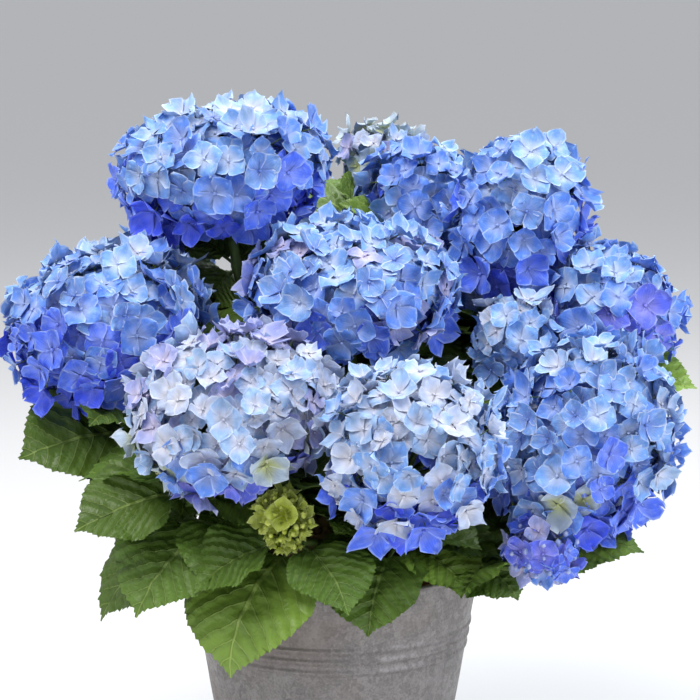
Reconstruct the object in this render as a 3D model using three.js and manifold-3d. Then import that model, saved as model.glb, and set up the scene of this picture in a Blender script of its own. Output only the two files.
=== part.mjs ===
// Bigleaf hydrangea in full flower, standing in a tapered zinc bucket.
// Millimetres, +Z up. The origin is the middle of the bucket's flat underside, and the front faces -Y.

import * as THREE from 'three';
import { mergeVertices } from 'three/addons/utils/BufferGeometryUtils.js';
import Module from 'manifold-3d';

const wasm = await Module();
wasm.setup();

// Driving dimensions

const GAP = 0.3; // clearance kept between neighbouring solids

const BUCKET = {
  height: 222, rimRadius: 121.5, baseRadius: 80.5, wall: 1.2, bead: 2.2,
  ribs: [172, 163, 154], ribHalfWidth: 2.6, ribProud: 1.6, footBevel: 2, sides: 32,
};
const NURSERY = {
  top: 233, rimRadius: 108, baseRadius: 71, wall: 1.6, lip: 9, lipProud: 1.8, edge: 1, sides: 28,
};
const SOIL = { top: 222, clearance: 1.4, shoulderWidth: 8, shoulderDrop: 3, sides: 24 };
const CROWN = { radius: 32, foot: 38, shoulder: 232, sides: 24 }; // the short trunk the shoots rise from

const BOUGH = { baseRadius: 3.7, tipRadius: 2.9, share: 0.5, steps: 3, sides: 6 };
const STEM = { tipRadius: 2.4, steps: 3, sides: 5 };
const RIM_STEM = { baseRadius: 3.2, tipRadius: 2.2 };
const NECK = 30; // bare flower stalk between the top leaves and the head's underside
const BEND = 0.36; // how far the stems' end directions reach along them

const LEAF = { length: 112, widthShare: 0.66, petiole: 0.2, thickness: 1.5, petioleWidth: 3.4, fold: 0.16 };
const LEAF_ROWS = [0, 0.38, 1]; // places along the blade, from its base to its tip
const LEAF_BREADTHS = [0.06, 1, 0.03]; // width there, as a share of the widest

const FLORET = { lobe: 23, cup: 4, root: 15, stand: 12 };
const SHELL = 12; // thickness of the dense dome inside a head
const HEAD_SIDES = 10;
const STALK = { sink: 3, swell: 1.6, sides: 6 }; // a head's stalk, thicker where it meets the dome
const SMALL_HEAD = { radius: 50, sides: 8, floretScale: 0.7 }; // largest radius that counts as small
const BUD_CLIMB = 48; // degrees above level that the rim shoots' own clusters face
const DOME_RIM = -46; // degrees below the head's equator where that dome ends
const FLORET_RIM = -0.6; // sine of the lowest floret's latitude
const GOLDEN_ANGLE = Math.PI * (3 - Math.sqrt(5));

// Flowering shoots: the middle of the head, its radius and half height, its lean from upright and
// the heading of that lean in degrees from +X, and its florets. Front ones first, then the far side.
const SHOOTS = {
  top_left: { at: [-90, 55, 536], radius: 94, half: 60, lean: 7, toward: 160, florets: 14 },
  left: { at: [-182, -5, 415], radius: 88, half: 70, lean: 18, toward: 190, florets: 13 },
  centre: { at: [15, -25, 447], radius: 91, half: 58, lean: 12, toward: 275, florets: 13 },
  front_left: { at: [-76, -130, 367], radius: 85, half: 62, lean: 26, toward: 240, florets: 13 },
  front_right: { at: [57, -190, 345], radius: 74, half: 70, lean: 34, toward: 285, florets: 12 },
  right_front: { at: [191, -100, 337], radius: 76, half: 90, lean: 24, toward: 335, florets: 13 },
  top_middle: { at: [72, 110, 499], radius: 63, half: 59, lean: 8, toward: 80, florets: 9 },
  top_right: { at: [151, 30, 503], radius: 61, half: 69, lean: 10, toward: 20, florets: 9 },
  right: { at: [223, 15, 424], radius: 66, half: 58, lean: 26, toward: 0, florets: 9 },
  inner_right: { at: [141, -40, 407], radius: 38, half: 38, lean: 10, toward: 310, florets: 5 },
  top_back: { at: [43, 200, 532], radius: 44, half: 34, lean: 14, toward: 80, florets: 5 },
  back_left: { at: [-165, 165, 410], radius: 76, half: 58, lean: 26, toward: 135, florets: 11 },
  back: { at: [-20, 188, 430], radius: 70, half: 54, lean: 20, toward: 95, florets: 10 },
  back_right: { at: [147, 168, 418], radius: 75, half: 58, lean: 26, toward: 48, florets: 11 },
  far_right: { at: [221, 99, 343], radius: 63, half: 55, lean: 34, toward: 25, florets: 9 },
  low_back_left: { at: [-75, 212, 322], radius: 66, half: 54, lean: 40, toward: 108, florets: 10 },
  low_back_right: { at: [100, 222, 318], radius: 71, half: 56, lean: 40, toward: 66, florets: 10 },
};

// Leaves that hang where the front view shows them: where each leaves its stem, the tip, the bend
// from root to tip in degrees, the widest breadth, the twist, and the petiole's share.
const SEEN_LEAVES = {
  left: [
    { share: 0.82, tip: [-246, -64, 310], bend: 26, width: 84, twist: -40 },
    { share: 0.72, tip: [-170, -84, 268], bend: 50, width: 66, twist: -24 },
  ],
  front_left: [
    { share: 0.9, tip: [-197, -127, 274], bend: 30, width: 72, twist: -48, petiole: 0.34 },
    { share: 0.62, tip: [-112, -126, 292], bend: 34, width: 62, twist: -30 },
    { share: 0.94, tip: [18, -120, 322], bend: 30, width: 58, twist: 24 },
  ],
  right_front: [
    { share: 0.72, tip: [238, -100, 240], bend: 40, width: 68, twist: 40 },
    { share: 0.66, tip: [254, -62, 276], bend: 26, width: 60, twist: 34 },
  ],
  right: [
    { share: 0.94, tip: [288, -28, 366], bend: 24, width: 62, twist: 34 },
  ],
  top_back: [
    { share: 0.9, tip: [0, 128, 512], bend: 22, width: 62, twist: -50 },
  ],
};

// Leafy side shoots low on the crown, whose leaves hang over the bucket's rim.
const RIM_SHOOTS = {
  front_left: {
    heading: 226, climb: 16, end: [-84, -88, 272],
    leaves: [
      { share: 0.98, tip: [-150, -140, 208], bend: 56, width: 84, twist: -18 },
      { share: 0.8, tip: [-184, -74, 188], bend: 64, width: 84, twist: -30 },
      { share: 0.9, tip: [-92, -150, 232], bend: 48, width: 62, twist: -14 },
    ],
  },
  front: {
    heading: 258, climb: 14, end: [-32, -144, 268],
    buds: { radius: 24, half: 21, florets: 5 },
    leaves: [
      { share: 0.55, tip: [-78, -152, 164], bend: 84, width: 108, twist: -6 },
      { share: 0.85, tip: [12, -172, 218], bend: 62, width: 62, twist: 14 },
      { share: 0.97, tip: [-104, -154, 230], bend: 50, width: 66, twist: -22 },
    ],
  },
  front_right: {
    heading: 303, climb: 9, end: [50, -106, 256],
    leaves: [
      { share: 0.98, tip: [26, -152, 196], bend: 66, width: 78, twist: 4 },
      { share: 0.9, tip: [104, -136, 226], bend: 56, width: 66, twist: 20 },
    ],
  },
  right_front: {
    heading: 319, climb: 7, end: [146, -130, 243],
    buds: { radius: 28, half: 23, florets: 6 },
    leaves: [
      { share: 0.6, tip: [142, -112, 214], bend: 70, width: 64, twist: 20 },
      { share: 0.8, tip: [96, -150, 226], bend: 60, width: 58, twist: 10 },
    ],
  },
  back_right: {
    heading: 42, climb: 12, end: [92, 84, 262],
    leaves: [
      { share: 0.98, tip: [148, 138, 196], bend: 62, width: 80, twist: 6 },
      { share: 0.85, tip: [176, 60, 206], bend: 62, width: 76, twist: 18 },
      { share: 0.7, tip: [40, 158, 200], bend: 72, width: 78, twist: -18 },
    ],
  },
  back_left: {
    heading: 150, climb: 12, end: [-108, 62, 262],
    leaves: [
      { share: 0.98, tip: [-178, 92, 204], bend: 62, width: 80, twist: -6 },
      { share: 0.85, tip: [-178, 22, 210], bend: 62, width: 76, twist: -20 },
      { share: 0.7, tip: [-98, 158, 198], bend: 72, width: 78, twist: 18 },
    ],
  },
};

// Opposite pairs of leaves up each flowering stem: where along it, and their headings from its own.
// A shoot with leaves in SEEN_LEAVES has those in place of the outward leaf of its middle pair.
const OUTWARD = 8;
const LEAF_PAIRS = [
  { share: 0.44, offsets: [86, -86], rise: 34, bend: 56 },
  { share: 0.68, offsets: [OUTWARD, 176], rise: 20, bend: 52 },
  { share: 0.9, offsets: [78, -78], rise: 10, bend: 44 },
];
const LOWEST_TIP = 238; // height that only the rim shoots' leaves hang below

// A leaf that would touch anything turns aside, lifts or drops until it hangs free, or is left out.
const LIFTS = [0, -14, 14, -28, 28];
const SWINGS = [0, 22, -22];

// Materials

function finish(color, roughness, metalness = 0) {
  return new THREE.MeshStandardMaterial({ color, roughness, metalness, flatShading: true });
}

const MATERIALS = {
  zinc: finish(0x9a97a0, 0.55, 0.85),
  terracotta: finish(0xb4644a, 0.6),
  compost: finish(0x3a2a20, 0.95),
  bark: finish(0x6b5a41, 0.85),
  leaf: finish(0x4f7038, 0.5),
  blossom: finish(0x6f8fe0, 0.6),
};

// Helpers

const radians = THREE.MathUtils.degToRad;
const UP = new THREE.Vector3(0, 0, 1);
const CROWN_MIDDLE = new THREE.Vector3(0, 0, CROWN.shoulder);

function seededRandom(seed) {
  let state = seed;
  return () => {
    state = (state * 1103515245 + 12345) % 2147483648;
    return state / 2147483648;
  };
}

function direction(heading, climb) {
  const flat = Math.cos(radians(climb));
  return new THREE.Vector3(
    flat * Math.cos(radians(heading)), flat * Math.sin(radians(heading)), Math.sin(radians(climb)),
  );
}

function toSolid(geometry) {
  const bare = geometry.clone();
  bare.deleteAttribute('normal');
  bare.deleteAttribute('uv');
  const merged = mergeVertices(bare, 1e-4);
  return new wasm.Manifold(new wasm.Mesh({
    numProp: 3,
    vertProperties: new Float32Array(merged.attributes.position.array),
    triVerts: new Uint32Array(merged.index.array),
  }));
}

function toGeometry(solid) {
  const mesh = solid.getMesh();
  const geometry = new THREE.BufferGeometry();
  geometry.setAttribute('position', new THREE.BufferAttribute(mesh.vertProperties, 3));
  geometry.setIndex(new THREE.BufferAttribute(mesh.triVerts, 1));
  geometry.computeVertexNormals();
  return geometry;
}

// The largest body of a fused solid: what is left over is a loose scrap.
function wholeBody(solid) {
  const bodies = solid.decompose();
  return bodies.reduce((best, body) => (body.volume() > best.volume() ? body : best));
}

function moveVertices(geometry, place) {
  const positions = geometry.attributes.position;
  const vertex = new THREE.Vector3();
  for (let i = 0; i < positions.count; i += 1) {
    vertex.fromBufferAttribute(positions, i);
    place(vertex);
    positions.setXYZ(i, vertex.x, vertex.y, vertex.z);
  }
  return geometry;
}

function turned(profile, sides) {
  const points = profile.map(([radius, height]) => new THREE.Vector2(radius, height));
  return new THREE.LatheGeometry(points, sides).rotateX(Math.PI / 2);
}

// Bucket, nursery pot, compost and trunk

function bucketRadius(height) {
  const wallTop = BUCKET.rimRadius - BUCKET.bead;
  return THREE.MathUtils.lerp(BUCKET.baseRadius, wallTop, height / BUCKET.height);
}

function bucket() {
  const { height, wall, bead, ribs, ribHalfWidth, ribProud, baseRadius, footBevel } = BUCKET;
  const outside = [[0, 0], [baseRadius - footBevel, 0], [bucketRadius(footBevel), footBevel]];
  for (const rib of [...ribs].reverse()) {
    outside.push([bucketRadius(rib - ribHalfWidth), rib - ribHalfWidth]);
    outside.push([bucketRadius(rib) + ribProud, rib]);
    outside.push([bucketRadius(rib + ribHalfWidth), rib + ribHalfWidth]);
  }
  const beadMiddle = height - bead;
  const edge = BUCKET.rimRadius - bead;
  const rim = [[bucketRadius(beadMiddle - bead), beadMiddle - bead]];
  for (const turn of [-40, 0, 45, 90, 145]) {
    rim.push([edge + bead * Math.cos(radians(turn)), beadMiddle + bead * Math.sin(radians(turn))]);
  }
  const inside = [
    [bucketRadius(beadMiddle) - wall, beadMiddle], [baseRadius - wall, footBevel + wall],
    [baseRadius - footBevel - wall, wall], [0, wall],
  ];
  return toSolid(turned([...outside, ...rim, ...inside], BUCKET.sides));
}

function nurseryRadius(height) {
  return THREE.MathUtils.lerp(NURSERY.baseRadius, NURSERY.rimRadius - NURSERY.lipProud, height / NURSERY.top);
}

function nurseryPot() {
  const { top, rimRadius, wall, lip, lipProud, edge } = NURSERY;
  const floor = BUCKET.wall + GAP;
  const profile = [
    [0, floor], [nurseryRadius(floor), floor], [nurseryRadius(top - lip), top - lip],
    [rimRadius - edge / 2, top - lip], [rimRadius, top - edge], [rimRadius - edge, top],
    [rimRadius - lipProud - wall, top], [nurseryRadius(floor + wall) - wall, floor + wall], [0, floor + wall],
  ];
  return toSolid(turned(profile, NURSERY.sides));
}

function soil() {
  const bottom = BUCKET.wall + NURSERY.wall + 2 * GAP;
  const inset = NURSERY.wall + SOIL.clearance;
  const topRadius = nurseryRadius(SOIL.top) - inset;
  const profile = [
    [0, bottom], [nurseryRadius(bottom) - inset, bottom], [topRadius, SOIL.top - SOIL.shoulderDrop],
    [topRadius - SOIL.shoulderWidth, SOIL.top], [0, SOIL.top],
  ];
  return toSolid(turned(profile, SOIL.sides));
}

function trunk() {
  const flare = (CROWN.foot + CROWN.radius) / 2 - 2;
  const ground = SOIL.top + GAP;
  const profile = [[0, ground], [CROWN.foot, ground], [flare, (ground + CROWN.shoulder) / 2]];
  for (const turn of [0, 14, 28, 48, 70]) {
    profile.push([
      CROWN.radius * Math.cos(radians(turn)), CROWN.shoulder + CROWN.radius * Math.sin(radians(turn)),
    ]);
  }
  profile.push([0, CROWN.shoulder + CROWN.radius]);
  return toSolid(turned(profile, CROWN.sides));
}

// Stems: a path from the trunk to a head's foot, and tapering limbs along stretches of it

function headAxis(shoot) {
  return direction(shoot.toward, 90 - shoot.lean);
}

function headFoot(shoot) {
  const axis = headAxis(shoot);
  return new THREE.Vector3(...shoot.at).addScaledVector(axis, -(shoot.half * 0.5 + NECK));
}

function stemPath(end, startDirection, endDirection) {
  const start = CROWN_MIDDLE.clone().addScaledVector(startDirection, CROWN.radius + GAP);
  const hold = start.distanceTo(end) * BEND;
  return new THREE.CubicBezierCurve3(
    start,
    start.clone().addScaledVector(startDirection, hold),
    end.clone().addScaledVector(endDirection, -hold),
    end,
  );
}

function shootPath(shoot) {
  const end = headFoot(shoot);
  const away = end.clone().sub(CROWN_MIDDLE).normalize();
  return stemPath(end, away, headAxis(shoot));
}

function rimPath(shoot) {
  const end = new THREE.Vector3(...shoot.end);
  const away = direction(shoot.heading, shoot.climb);
  return stemPath(end, away, away);
}

function crossFrame(tangent) {
  const level = new THREE.Vector3(-tangent.y, tangent.x, 0);
  if (level.lengthSq() < 1e-6) {
    level.set(1, 0, 0);
  }
  level.normalize();
  return { level, raised: tangent.clone().cross(level).normalize() };
}

function limb(path, from, to, startRadius, endRadius, steps, sides) {
  const profile = [[0, 0]];
  for (let step = 0; step <= steps; step += 1) {
    profile.push([THREE.MathUtils.lerp(startRadius, endRadius, step / steps), step / steps]);
  }
  profile.push([0, 1]);
  const bar = turned(profile, sides);
  moveVertices(bar, (vertex) => {
    const share = THREE.MathUtils.clamp(THREE.MathUtils.lerp(from, to, vertex.z), 0, 1);
    const { level, raised } = crossFrame(path.getTangentAt(share));
    const { x, y } = vertex;
    vertex.copy(path.getPointAt(share)).addScaledVector(level, x).addScaledVector(raised, y);
  });
  return toSolid(bar);
}

// Leaves: a blade on a petiole, bent along an arc, folded a little along its midrib

function leafFromTip(start, seen) {
  const chord = new THREE.Vector3(...seen.tip).sub(start);
  const half = radians(seen.bend) / 2;
  const slope = Math.asin(chord.z / chord.length());
  return {
    heading: Math.atan2(chord.y, chord.x),
    rise: slope + half,
    bend: radians(seen.bend),
    reach: chord.length() * half / Math.sin(half),
    width: seen.width,
    twist: radians(seen.twist),
    petiole: seen.petiole ?? LEAF.petiole,
  };
}

function leafArc(start, leaf, share) {
  const turn = leaf.rise - leaf.bend * share;
  const scale = leaf.reach / leaf.bend;
  const out = scale * (Math.sin(leaf.rise) - Math.sin(turn));
  const climb = scale * (Math.cos(turn) - Math.cos(leaf.rise));
  const ahead = new THREE.Vector3(Math.cos(leaf.heading), Math.sin(leaf.heading), 0);
  const point = start.clone().addScaledVector(ahead, out).addScaledVector(UP, climb);
  const tangent = ahead.clone().multiplyScalar(Math.cos(turn)).addScaledVector(UP, Math.sin(turn));
  const twist = leaf.twist * Math.min(1, 2 * share);
  const side = new THREE.Vector3(-ahead.y, ahead.x, 0).applyAxisAngle(tangent, twist);
  return { point, side, face: tangent.clone().cross(side) };
}

function leafSolid(start, leaf) {
  const rows = LEAF_ROWS.length;
  const slab = new THREE.BoxGeometry(2, 1, 1, 2, rows, 1);
  moveVertices(slab, (vertex) => {
    const row = Math.round((vertex.y + 0.5) * rows);
    const along = row === 0 ? 0 : THREE.MathUtils.lerp(leaf.petiole, 1, LEAF_ROWS[row - 1]);
    const breadth = row === 0 ? LEAF.petioleWidth : Math.max(leaf.width * LEAF_BREADTHS[row - 1], 2.4);
    const thickness = row <= 1 ? LEAF.petioleWidth * 0.8 : LEAF.thickness;
    const { point, side, face } = leafArc(start, leaf, along);
    const across = -vertex.x * breadth / 2;
    const lift = vertex.z * thickness + Math.abs(across) * LEAF.fold;
    vertex.copy(point).addScaledVector(side, across).addScaledVector(face, lift);
  });
  return toSolid(slab);
}

function pairedLeaves(path, random) {
  const leaves = [];
  for (const pair of LEAF_PAIRS) {
    const start = path.getPointAt(pair.share);
    const outward = Math.atan2(start.y, start.x);
    for (const offset of pair.offsets) {
      const reach = LEAF.length * (0.9 + 0.3 * random());
      leaves.push({
        offset,
        share: pair.share,
        heading: outward + radians(offset + 24 * (random() - 0.5)),
        rise: radians(pair.rise + 16 * (random() - 0.5)),
        bend: radians(pair.bend + 20 * (random() - 0.5)),
        reach: reach * (1 + LEAF.petiole),
        width: reach * LEAF.widthShare,
        twist: radians(30 * (random() - 0.5)),
        petiole: LEAF.petiole,
      });
    }
  }
  return leaves;
}

// Heads: a dome of close florets on a flower stalk, with florets standing out of it

function floretSolid() {
  const { lobe, cup, root } = FLORET;
  const funnel = new THREE.ConeGeometry(lobe, root + cup, 4, 1).rotateX(-Math.PI / 2);
  moveVertices(funnel, (vertex) => {
    const isRim = Math.hypot(vertex.x, vertex.y) > lobe / 2;
    vertex.z = vertex.z < 0 ? -root : (isRim ? cup : 0);
  });
  return toSolid(funnel);
}

const FLORET_SOLID = floretSolid();

function placed(solid, axis, at, spin, scale) {
  const upright = new THREE.Quaternion().setFromUnitVectors(UP, axis);
  const turn = new THREE.Quaternion().setFromAxisAngle(UP, spin);
  const matrix = new THREE.Matrix4().compose(
    at, upright.multiply(turn), new THREE.Vector3(scale, scale, scale),
  );
  return solid.transform(matrix.elements);
}

function domeSolid(radius, half) {
  const profile = [];
  for (const latitude of [90, 58, 22, -14, DOME_RIM]) {
    profile.push([radius * Math.cos(radians(latitude)), half * Math.sin(radians(latitude))]);
  }
  const [innerRadius, innerHalf] = [radius - SHELL, half - SHELL];
  for (const latitude of [DOME_RIM + 6, 26, 90]) {
    profile.push([innerRadius * Math.cos(radians(latitude)), innerHalf * Math.sin(radians(latitude))]);
  }
  profile[0][0] = 0;
  profile.at(-1)[0] = 0;
  return toSolid(turned(profile.reverse(), radius > SMALL_HEAD.radius ? HEAD_SIDES : SMALL_HEAD.sides));
}

// A dome on a stalk that rises inside it from the foot to its top.
function headCore(middle, axis, radius, half, foot) {
  const stand = Math.min(FLORET.stand, half * 0.3);
  const coreHalf = half - stand;
  const inside = middle.clone().addScaledVector(axis, coreHalf - SHELL / 2);
  const stalk = new THREE.LineCurve3(foot, inside);
  const dome = placed(domeSolid(radius - stand, coreHalf), axis, middle, 0, 1);
  return dome.add(limb(stalk, 0, 1, STEM.tipRadius, STEM.tipRadius * STALK.swell, 1, STALK.sides));
}

function floretPlaces(count, radius, half) {
  const places = [];
  for (let i = 0; i < count; i += 1) {
    const climb = 1 - (i + 0.5) / count * (1 - FLORET_RIM);
    const flat = Math.sqrt(1 - climb * climb);
    const turn = i * GOLDEN_ANGLE;
    const [x, y] = [flat * Math.cos(turn), flat * Math.sin(turn)];
    places.push({
      at: new THREE.Vector3(radius * x, radius * y, half * climb),
      facing: new THREE.Vector3(x / radius, y / radius, climb / half).normalize(),
    });
  }
  return places;
}

// Assembly: each solid is kept clear of all that came before it, and limbs and heads come before leaves

const parts = new Map();

function addPart(name, solid, material) {
  parts.set(name, { solid, material });
}

function fuse(name, solid) {
  const part = parts.get(name);
  part.solid = part.solid.add(solid);
}

function boxesMeet(a, b) {
  return [0, 1, 2].every((axis) => a.min[axis] - GAP <= b.max[axis] && b.min[axis] - GAP <= a.max[axis]);
}

function isClear(solid, owner) {
  const box = solid.boundingBox();
  for (const [name, part] of parts) {
    const near = name !== owner && boxesMeet(box, part.solid.boundingBox());
    if (near && solid.minGap(part.solid, 1) < GAP) {
      return false;
    }
  }
  return true;
}

function growLeaf(owner, start, leaf, swings = [0], lowest = 0) {
  for (const swing of swings) {
    for (const lift of LIFTS) {
      const tried = { ...leaf, heading: leaf.heading + radians(swing), rise: leaf.rise + radians(lift) };
      const solid = leafSolid(start, tried);
      if (leafArc(start, tried, 1).point.z > lowest && isClear(solid, owner)) {
        fuse(owner, solid);
        return;
      }
    }
  }
}

function growFlorets(owner, middle, axis, head, random) {
  const places = floretPlaces(head.florets, head.radius, head.half);
  const upright = new THREE.Quaternion().setFromUnitVectors(UP, axis);
  for (const place of places) {
    const facing = place.facing.clone().applyQuaternion(upright);
    const at = place.at.clone().applyQuaternion(upright).add(middle).addScaledVector(facing, -FLORET.cup);
    const scale = head.radius > SMALL_HEAD.radius ? 1 : SMALL_HEAD.floretScale;
    const floret = placed(FLORET_SOLID, facing, at, random() * Math.PI, scale);
    if (isClear(floret, owner)) {
      fuse(owner, floret);
    }
  }
}

addPart('bucket', bucket(), MATERIALS.zinc);
addPart('nursery_pot', nurseryPot(), MATERIALS.terracotta);
addPart('soil', soil(), MATERIALS.compost);
addPart('trunk', trunk(), MATERIALS.bark);

for (const [name, shoot] of Object.entries(SHOOTS)) {
  const path = shootPath(shoot);
  const { baseRadius, tipRadius, share, steps, sides } = BOUGH;
  const clearance = GAP / path.getLength();
  addPart(`bough_${name}`, limb(path, 0, share, baseRadius, tipRadius, steps, sides), MATERIALS.bark);
  const stem = limb(path, share + clearance, 1, tipRadius, STEM.tipRadius, STEM.steps, STEM.sides);
  addPart(`leaves_${name}`, stem, MATERIALS.leaf);
}

for (const [name, shoot] of Object.entries(RIM_SHOOTS)) {
  const path = rimPath(shoot);
  const stem = limb(path, 0, 1, RIM_STEM.baseRadius, RIM_STEM.tipRadius, STEM.steps, STEM.sides);
  addPart(`leaves_rim_${name}`, stem, MATERIALS.leaf);
}

const heads = [];

for (const [name, shoot] of Object.entries(SHOOTS)) {
  const isSmall = shoot.radius < SMALL_HEAD.radius;
  const owner = isSmall ? `leaves_${name}` : `head_${name}`;
  const middle = new THREE.Vector3(...shoot.at);
  const axis = headAxis(shoot);
  const foot = headFoot(shoot).addScaledVector(axis, isSmall ? -STALK.sink : GAP);
  const core = headCore(middle, axis, shoot.radius, shoot.half, foot);
  if (isSmall) {
    fuse(owner, core);
  } else {
    addPart(owner, core, MATERIALS.blossom);
  }
  heads.push({ owner, middle, axis, radius: shoot.radius, half: shoot.half, florets: shoot.florets });
}

for (const [name, shoot] of Object.entries(RIM_SHOOTS)) {
  if (shoot.buds) {
    const owner = `leaves_rim_${name}`;
    const axis = direction(shoot.heading, BUD_CLIMB);
    const end = new THREE.Vector3(...shoot.end);
    const middle = end.clone().addScaledVector(axis, shoot.buds.half);
    const foot = end.clone().addScaledVector(axis, -STALK.sink);
    fuse(owner, headCore(middle, axis, shoot.buds.radius, shoot.buds.half, foot));
    heads.push({ owner, middle, axis, ...shoot.buds });
  }
}

heads.forEach((head, index) => {
  growFlorets(head.owner, head.middle, head.axis, head, seededRandom(100 + index));
});

for (const [name, seen] of Object.entries(SEEN_LEAVES)) {
  const path = shootPath(SHOOTS[name]);
  for (const leaf of seen) {
    const start = path.getPointAt(leaf.share);
    growLeaf(`leaves_${name}`, start, leafFromTip(start, leaf));
  }
}

for (const [name, shoot] of Object.entries(RIM_SHOOTS)) {
  const path = rimPath(shoot);
  for (const leaf of shoot.leaves) {
    const start = path.getPointAt(leaf.share);
    growLeaf(`leaves_rim_${name}`, start, leafFromTip(start, leaf));
  }
}

Object.entries(SHOOTS).forEach(([name, shoot], index) => {
  const path = shootPath(shoot);
  const leaves = pairedLeaves(path, seededRandom(7 + index));
  for (const leaf of leaves.filter(({ offset }) => offset !== OUTWARD || !SEEN_LEAVES[name])) {
    growLeaf(`leaves_${name}`, path.getPointAt(leaf.share), leaf, SWINGS, LOWEST_TIP);
  }
});

const hydrangea = new THREE.Group();
for (const [name, part] of parts) {
  const mesh = new THREE.Mesh(toGeometry(wholeBody(part.solid)), part.material);
  mesh.name = name;
  hydrangea.add(mesh);
}

export default hydrangea;
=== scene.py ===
# A mophead hydrangea in a zinc bucket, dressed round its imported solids.
# Growth is worked out in millimetres, by the same rule as the part's source, and each finished
# mesh is then scaled to metres.
import math
import random
from bisect import bisect_right

import bmesh
import bpy
from mathutils import Matrix, Quaternion, Vector, noise
from mathutils.bvhtree import BVHTree
from mathutils.geometry import interpolate_bezier
from mathutils.kdtree import KDTree


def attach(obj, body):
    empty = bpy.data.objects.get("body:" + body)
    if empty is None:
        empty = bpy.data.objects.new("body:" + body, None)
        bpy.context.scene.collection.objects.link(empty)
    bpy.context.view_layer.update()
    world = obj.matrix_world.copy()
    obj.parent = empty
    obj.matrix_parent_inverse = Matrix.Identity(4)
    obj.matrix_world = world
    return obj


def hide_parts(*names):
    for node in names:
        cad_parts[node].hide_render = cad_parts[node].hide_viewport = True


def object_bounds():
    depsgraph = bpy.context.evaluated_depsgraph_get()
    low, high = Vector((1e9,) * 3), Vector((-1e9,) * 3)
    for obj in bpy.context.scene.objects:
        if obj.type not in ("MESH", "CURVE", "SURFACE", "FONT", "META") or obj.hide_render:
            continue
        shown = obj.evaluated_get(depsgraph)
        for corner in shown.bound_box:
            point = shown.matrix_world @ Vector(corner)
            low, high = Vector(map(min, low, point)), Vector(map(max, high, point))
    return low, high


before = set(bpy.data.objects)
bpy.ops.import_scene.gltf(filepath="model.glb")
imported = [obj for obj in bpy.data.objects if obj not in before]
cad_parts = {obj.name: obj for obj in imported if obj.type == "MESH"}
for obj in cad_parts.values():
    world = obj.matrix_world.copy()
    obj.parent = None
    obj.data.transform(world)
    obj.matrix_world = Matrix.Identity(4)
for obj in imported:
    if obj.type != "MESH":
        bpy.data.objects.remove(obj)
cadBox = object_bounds()

scene = bpy.context.scene
up = Vector((0, 0, 1))
millimetre = 0.001
bakeMap = "OFBake"
goldenAngle = math.pi * (3 - math.sqrt(5))

# camera, light and floor

view = {"aim": (12.8, 0, 392), "distance": 2000, "climb": 8.5, "fieldAngle": 16, "sensor": 36}

lamps = {
    "windowLamp": {"at": (-800, -1250, 2700), "size": 1500, "watts": 58, "color": (1.0, 0.97, 0.93)},
    "fillLamp": {"at": (1900, -1300, 1200), "size": 1500, "watts": 26, "color": (0.9, 0.95, 1.0)},
    "skyLamp": {"at": (400, 900, 2600), "size": 1800, "watts": 50, "color": (0.96, 0.98, 1.0)},
}
stage = {
    "floorRadius": 120000, "floorSides": 96, "floor": "#dcdcdc", "floorRoughness": 0.8,
    "air": (0.88, 0.9, 0.94), "airStrength": 0.68,
}


# a web colour such as #4c63d2 as the linear values that shaders take
def linear(code):
    parts = [int(code[i:i + 2], 16) / 255 for i in (1, 3, 5)]
    return (*[p / 12.92 if p <= 0.04045 else ((p + 0.055) / 1.055) ** 2.4 for p in parts], 1.0)


# stands a camera or lamp at a place, turned along a direction
def standAt(thing, place, ahead):
    thing.location = place * millimetre
    thing.rotation_euler = ahead.to_track_quat("-Z", "Y").to_euler()
    scene.collection.objects.link(thing)


def setCamera():
    climb = math.radians(view["climb"])
    ahead = Vector((0, math.cos(climb), -math.sin(climb)))
    data = bpy.data.cameras.new("frontCamera")
    data.sensor_width = view["sensor"]
    data.lens = view["sensor"] / 2 / math.tan(math.radians(view["fieldAngle"] / 2))
    camera = bpy.data.objects.new("frontCamera", data)
    standAt(camera, Vector(view["aim"]) - ahead * view["distance"], ahead)
    scene.camera = camera


def setLamps():
    for name, lamp in lamps.items():
        data = bpy.data.lights.new(name, "AREA")
        data.size = lamp["size"] * millimetre
        data.energy = lamp["watts"]
        data.color = lamp["color"]
        place = Vector(lamp["at"])
        standAt(bpy.data.objects.new(name, data), place, Vector(view["aim"]) - place)
    world = bpy.data.worlds.new("paleAir")
    world.use_nodes = True
    air = world.node_tree.nodes["Background"]
    air.inputs["Color"].default_value = (*stage["air"], 1)
    air.inputs["Strength"].default_value = stage["airStrength"]
    scene.world = world
    scene.view_settings.view_transform = "Standard"


def makeFloor():
    bm = bmesh.new()
    bmesh.ops.create_circle(bm, cap_ends=True, segments=stage["floorSides"],
                            radius=stage["floorRadius"] * millimetre)
    mesh = bpy.data.meshes.new("studioFloor")
    bm.to_mesh(mesh)
    bm.free()
    floor = bpy.data.objects.new("studioFloor", mesh)
    material = bpy.data.materials.new("studioFloor")
    material.use_nodes = True
    shader = material.node_tree.nodes["Principled BSDF"]
    shader.inputs["Base Color"].default_value = linear(stage["floor"])
    shader.inputs["Roughness"].default_value = stage["floorRoughness"]
    mesh.materials.append(material)
    scene.collection.objects.link(floor)


setCamera()
setLamps()
makeFloor()
print("camera, lamps and floor set")

# shader helpers


def addNode(tree, kind, sockets=None, **settings):
    node = tree.nodes.new("ShaderNode" + kind)
    for name, value in settings.items():
        setattr(node, name, value)
    for key, value in (sockets or {}).items():
        if isinstance(value, bpy.types.NodeSocket):
            tree.links.new(value, node.inputs[key])
        else:
            node.inputs[key].default_value = value
    return node


def calc(tree, operation, first, second=0.0):
    return addNode(tree, "Math", {0: first, 1: second}, operation=operation).outputs[0]


def times(tree, first, second):
    return calc(tree, "MULTIPLY", first, second)


def plus(tree, first, second):
    return calc(tree, "ADD", first, second)


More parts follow.
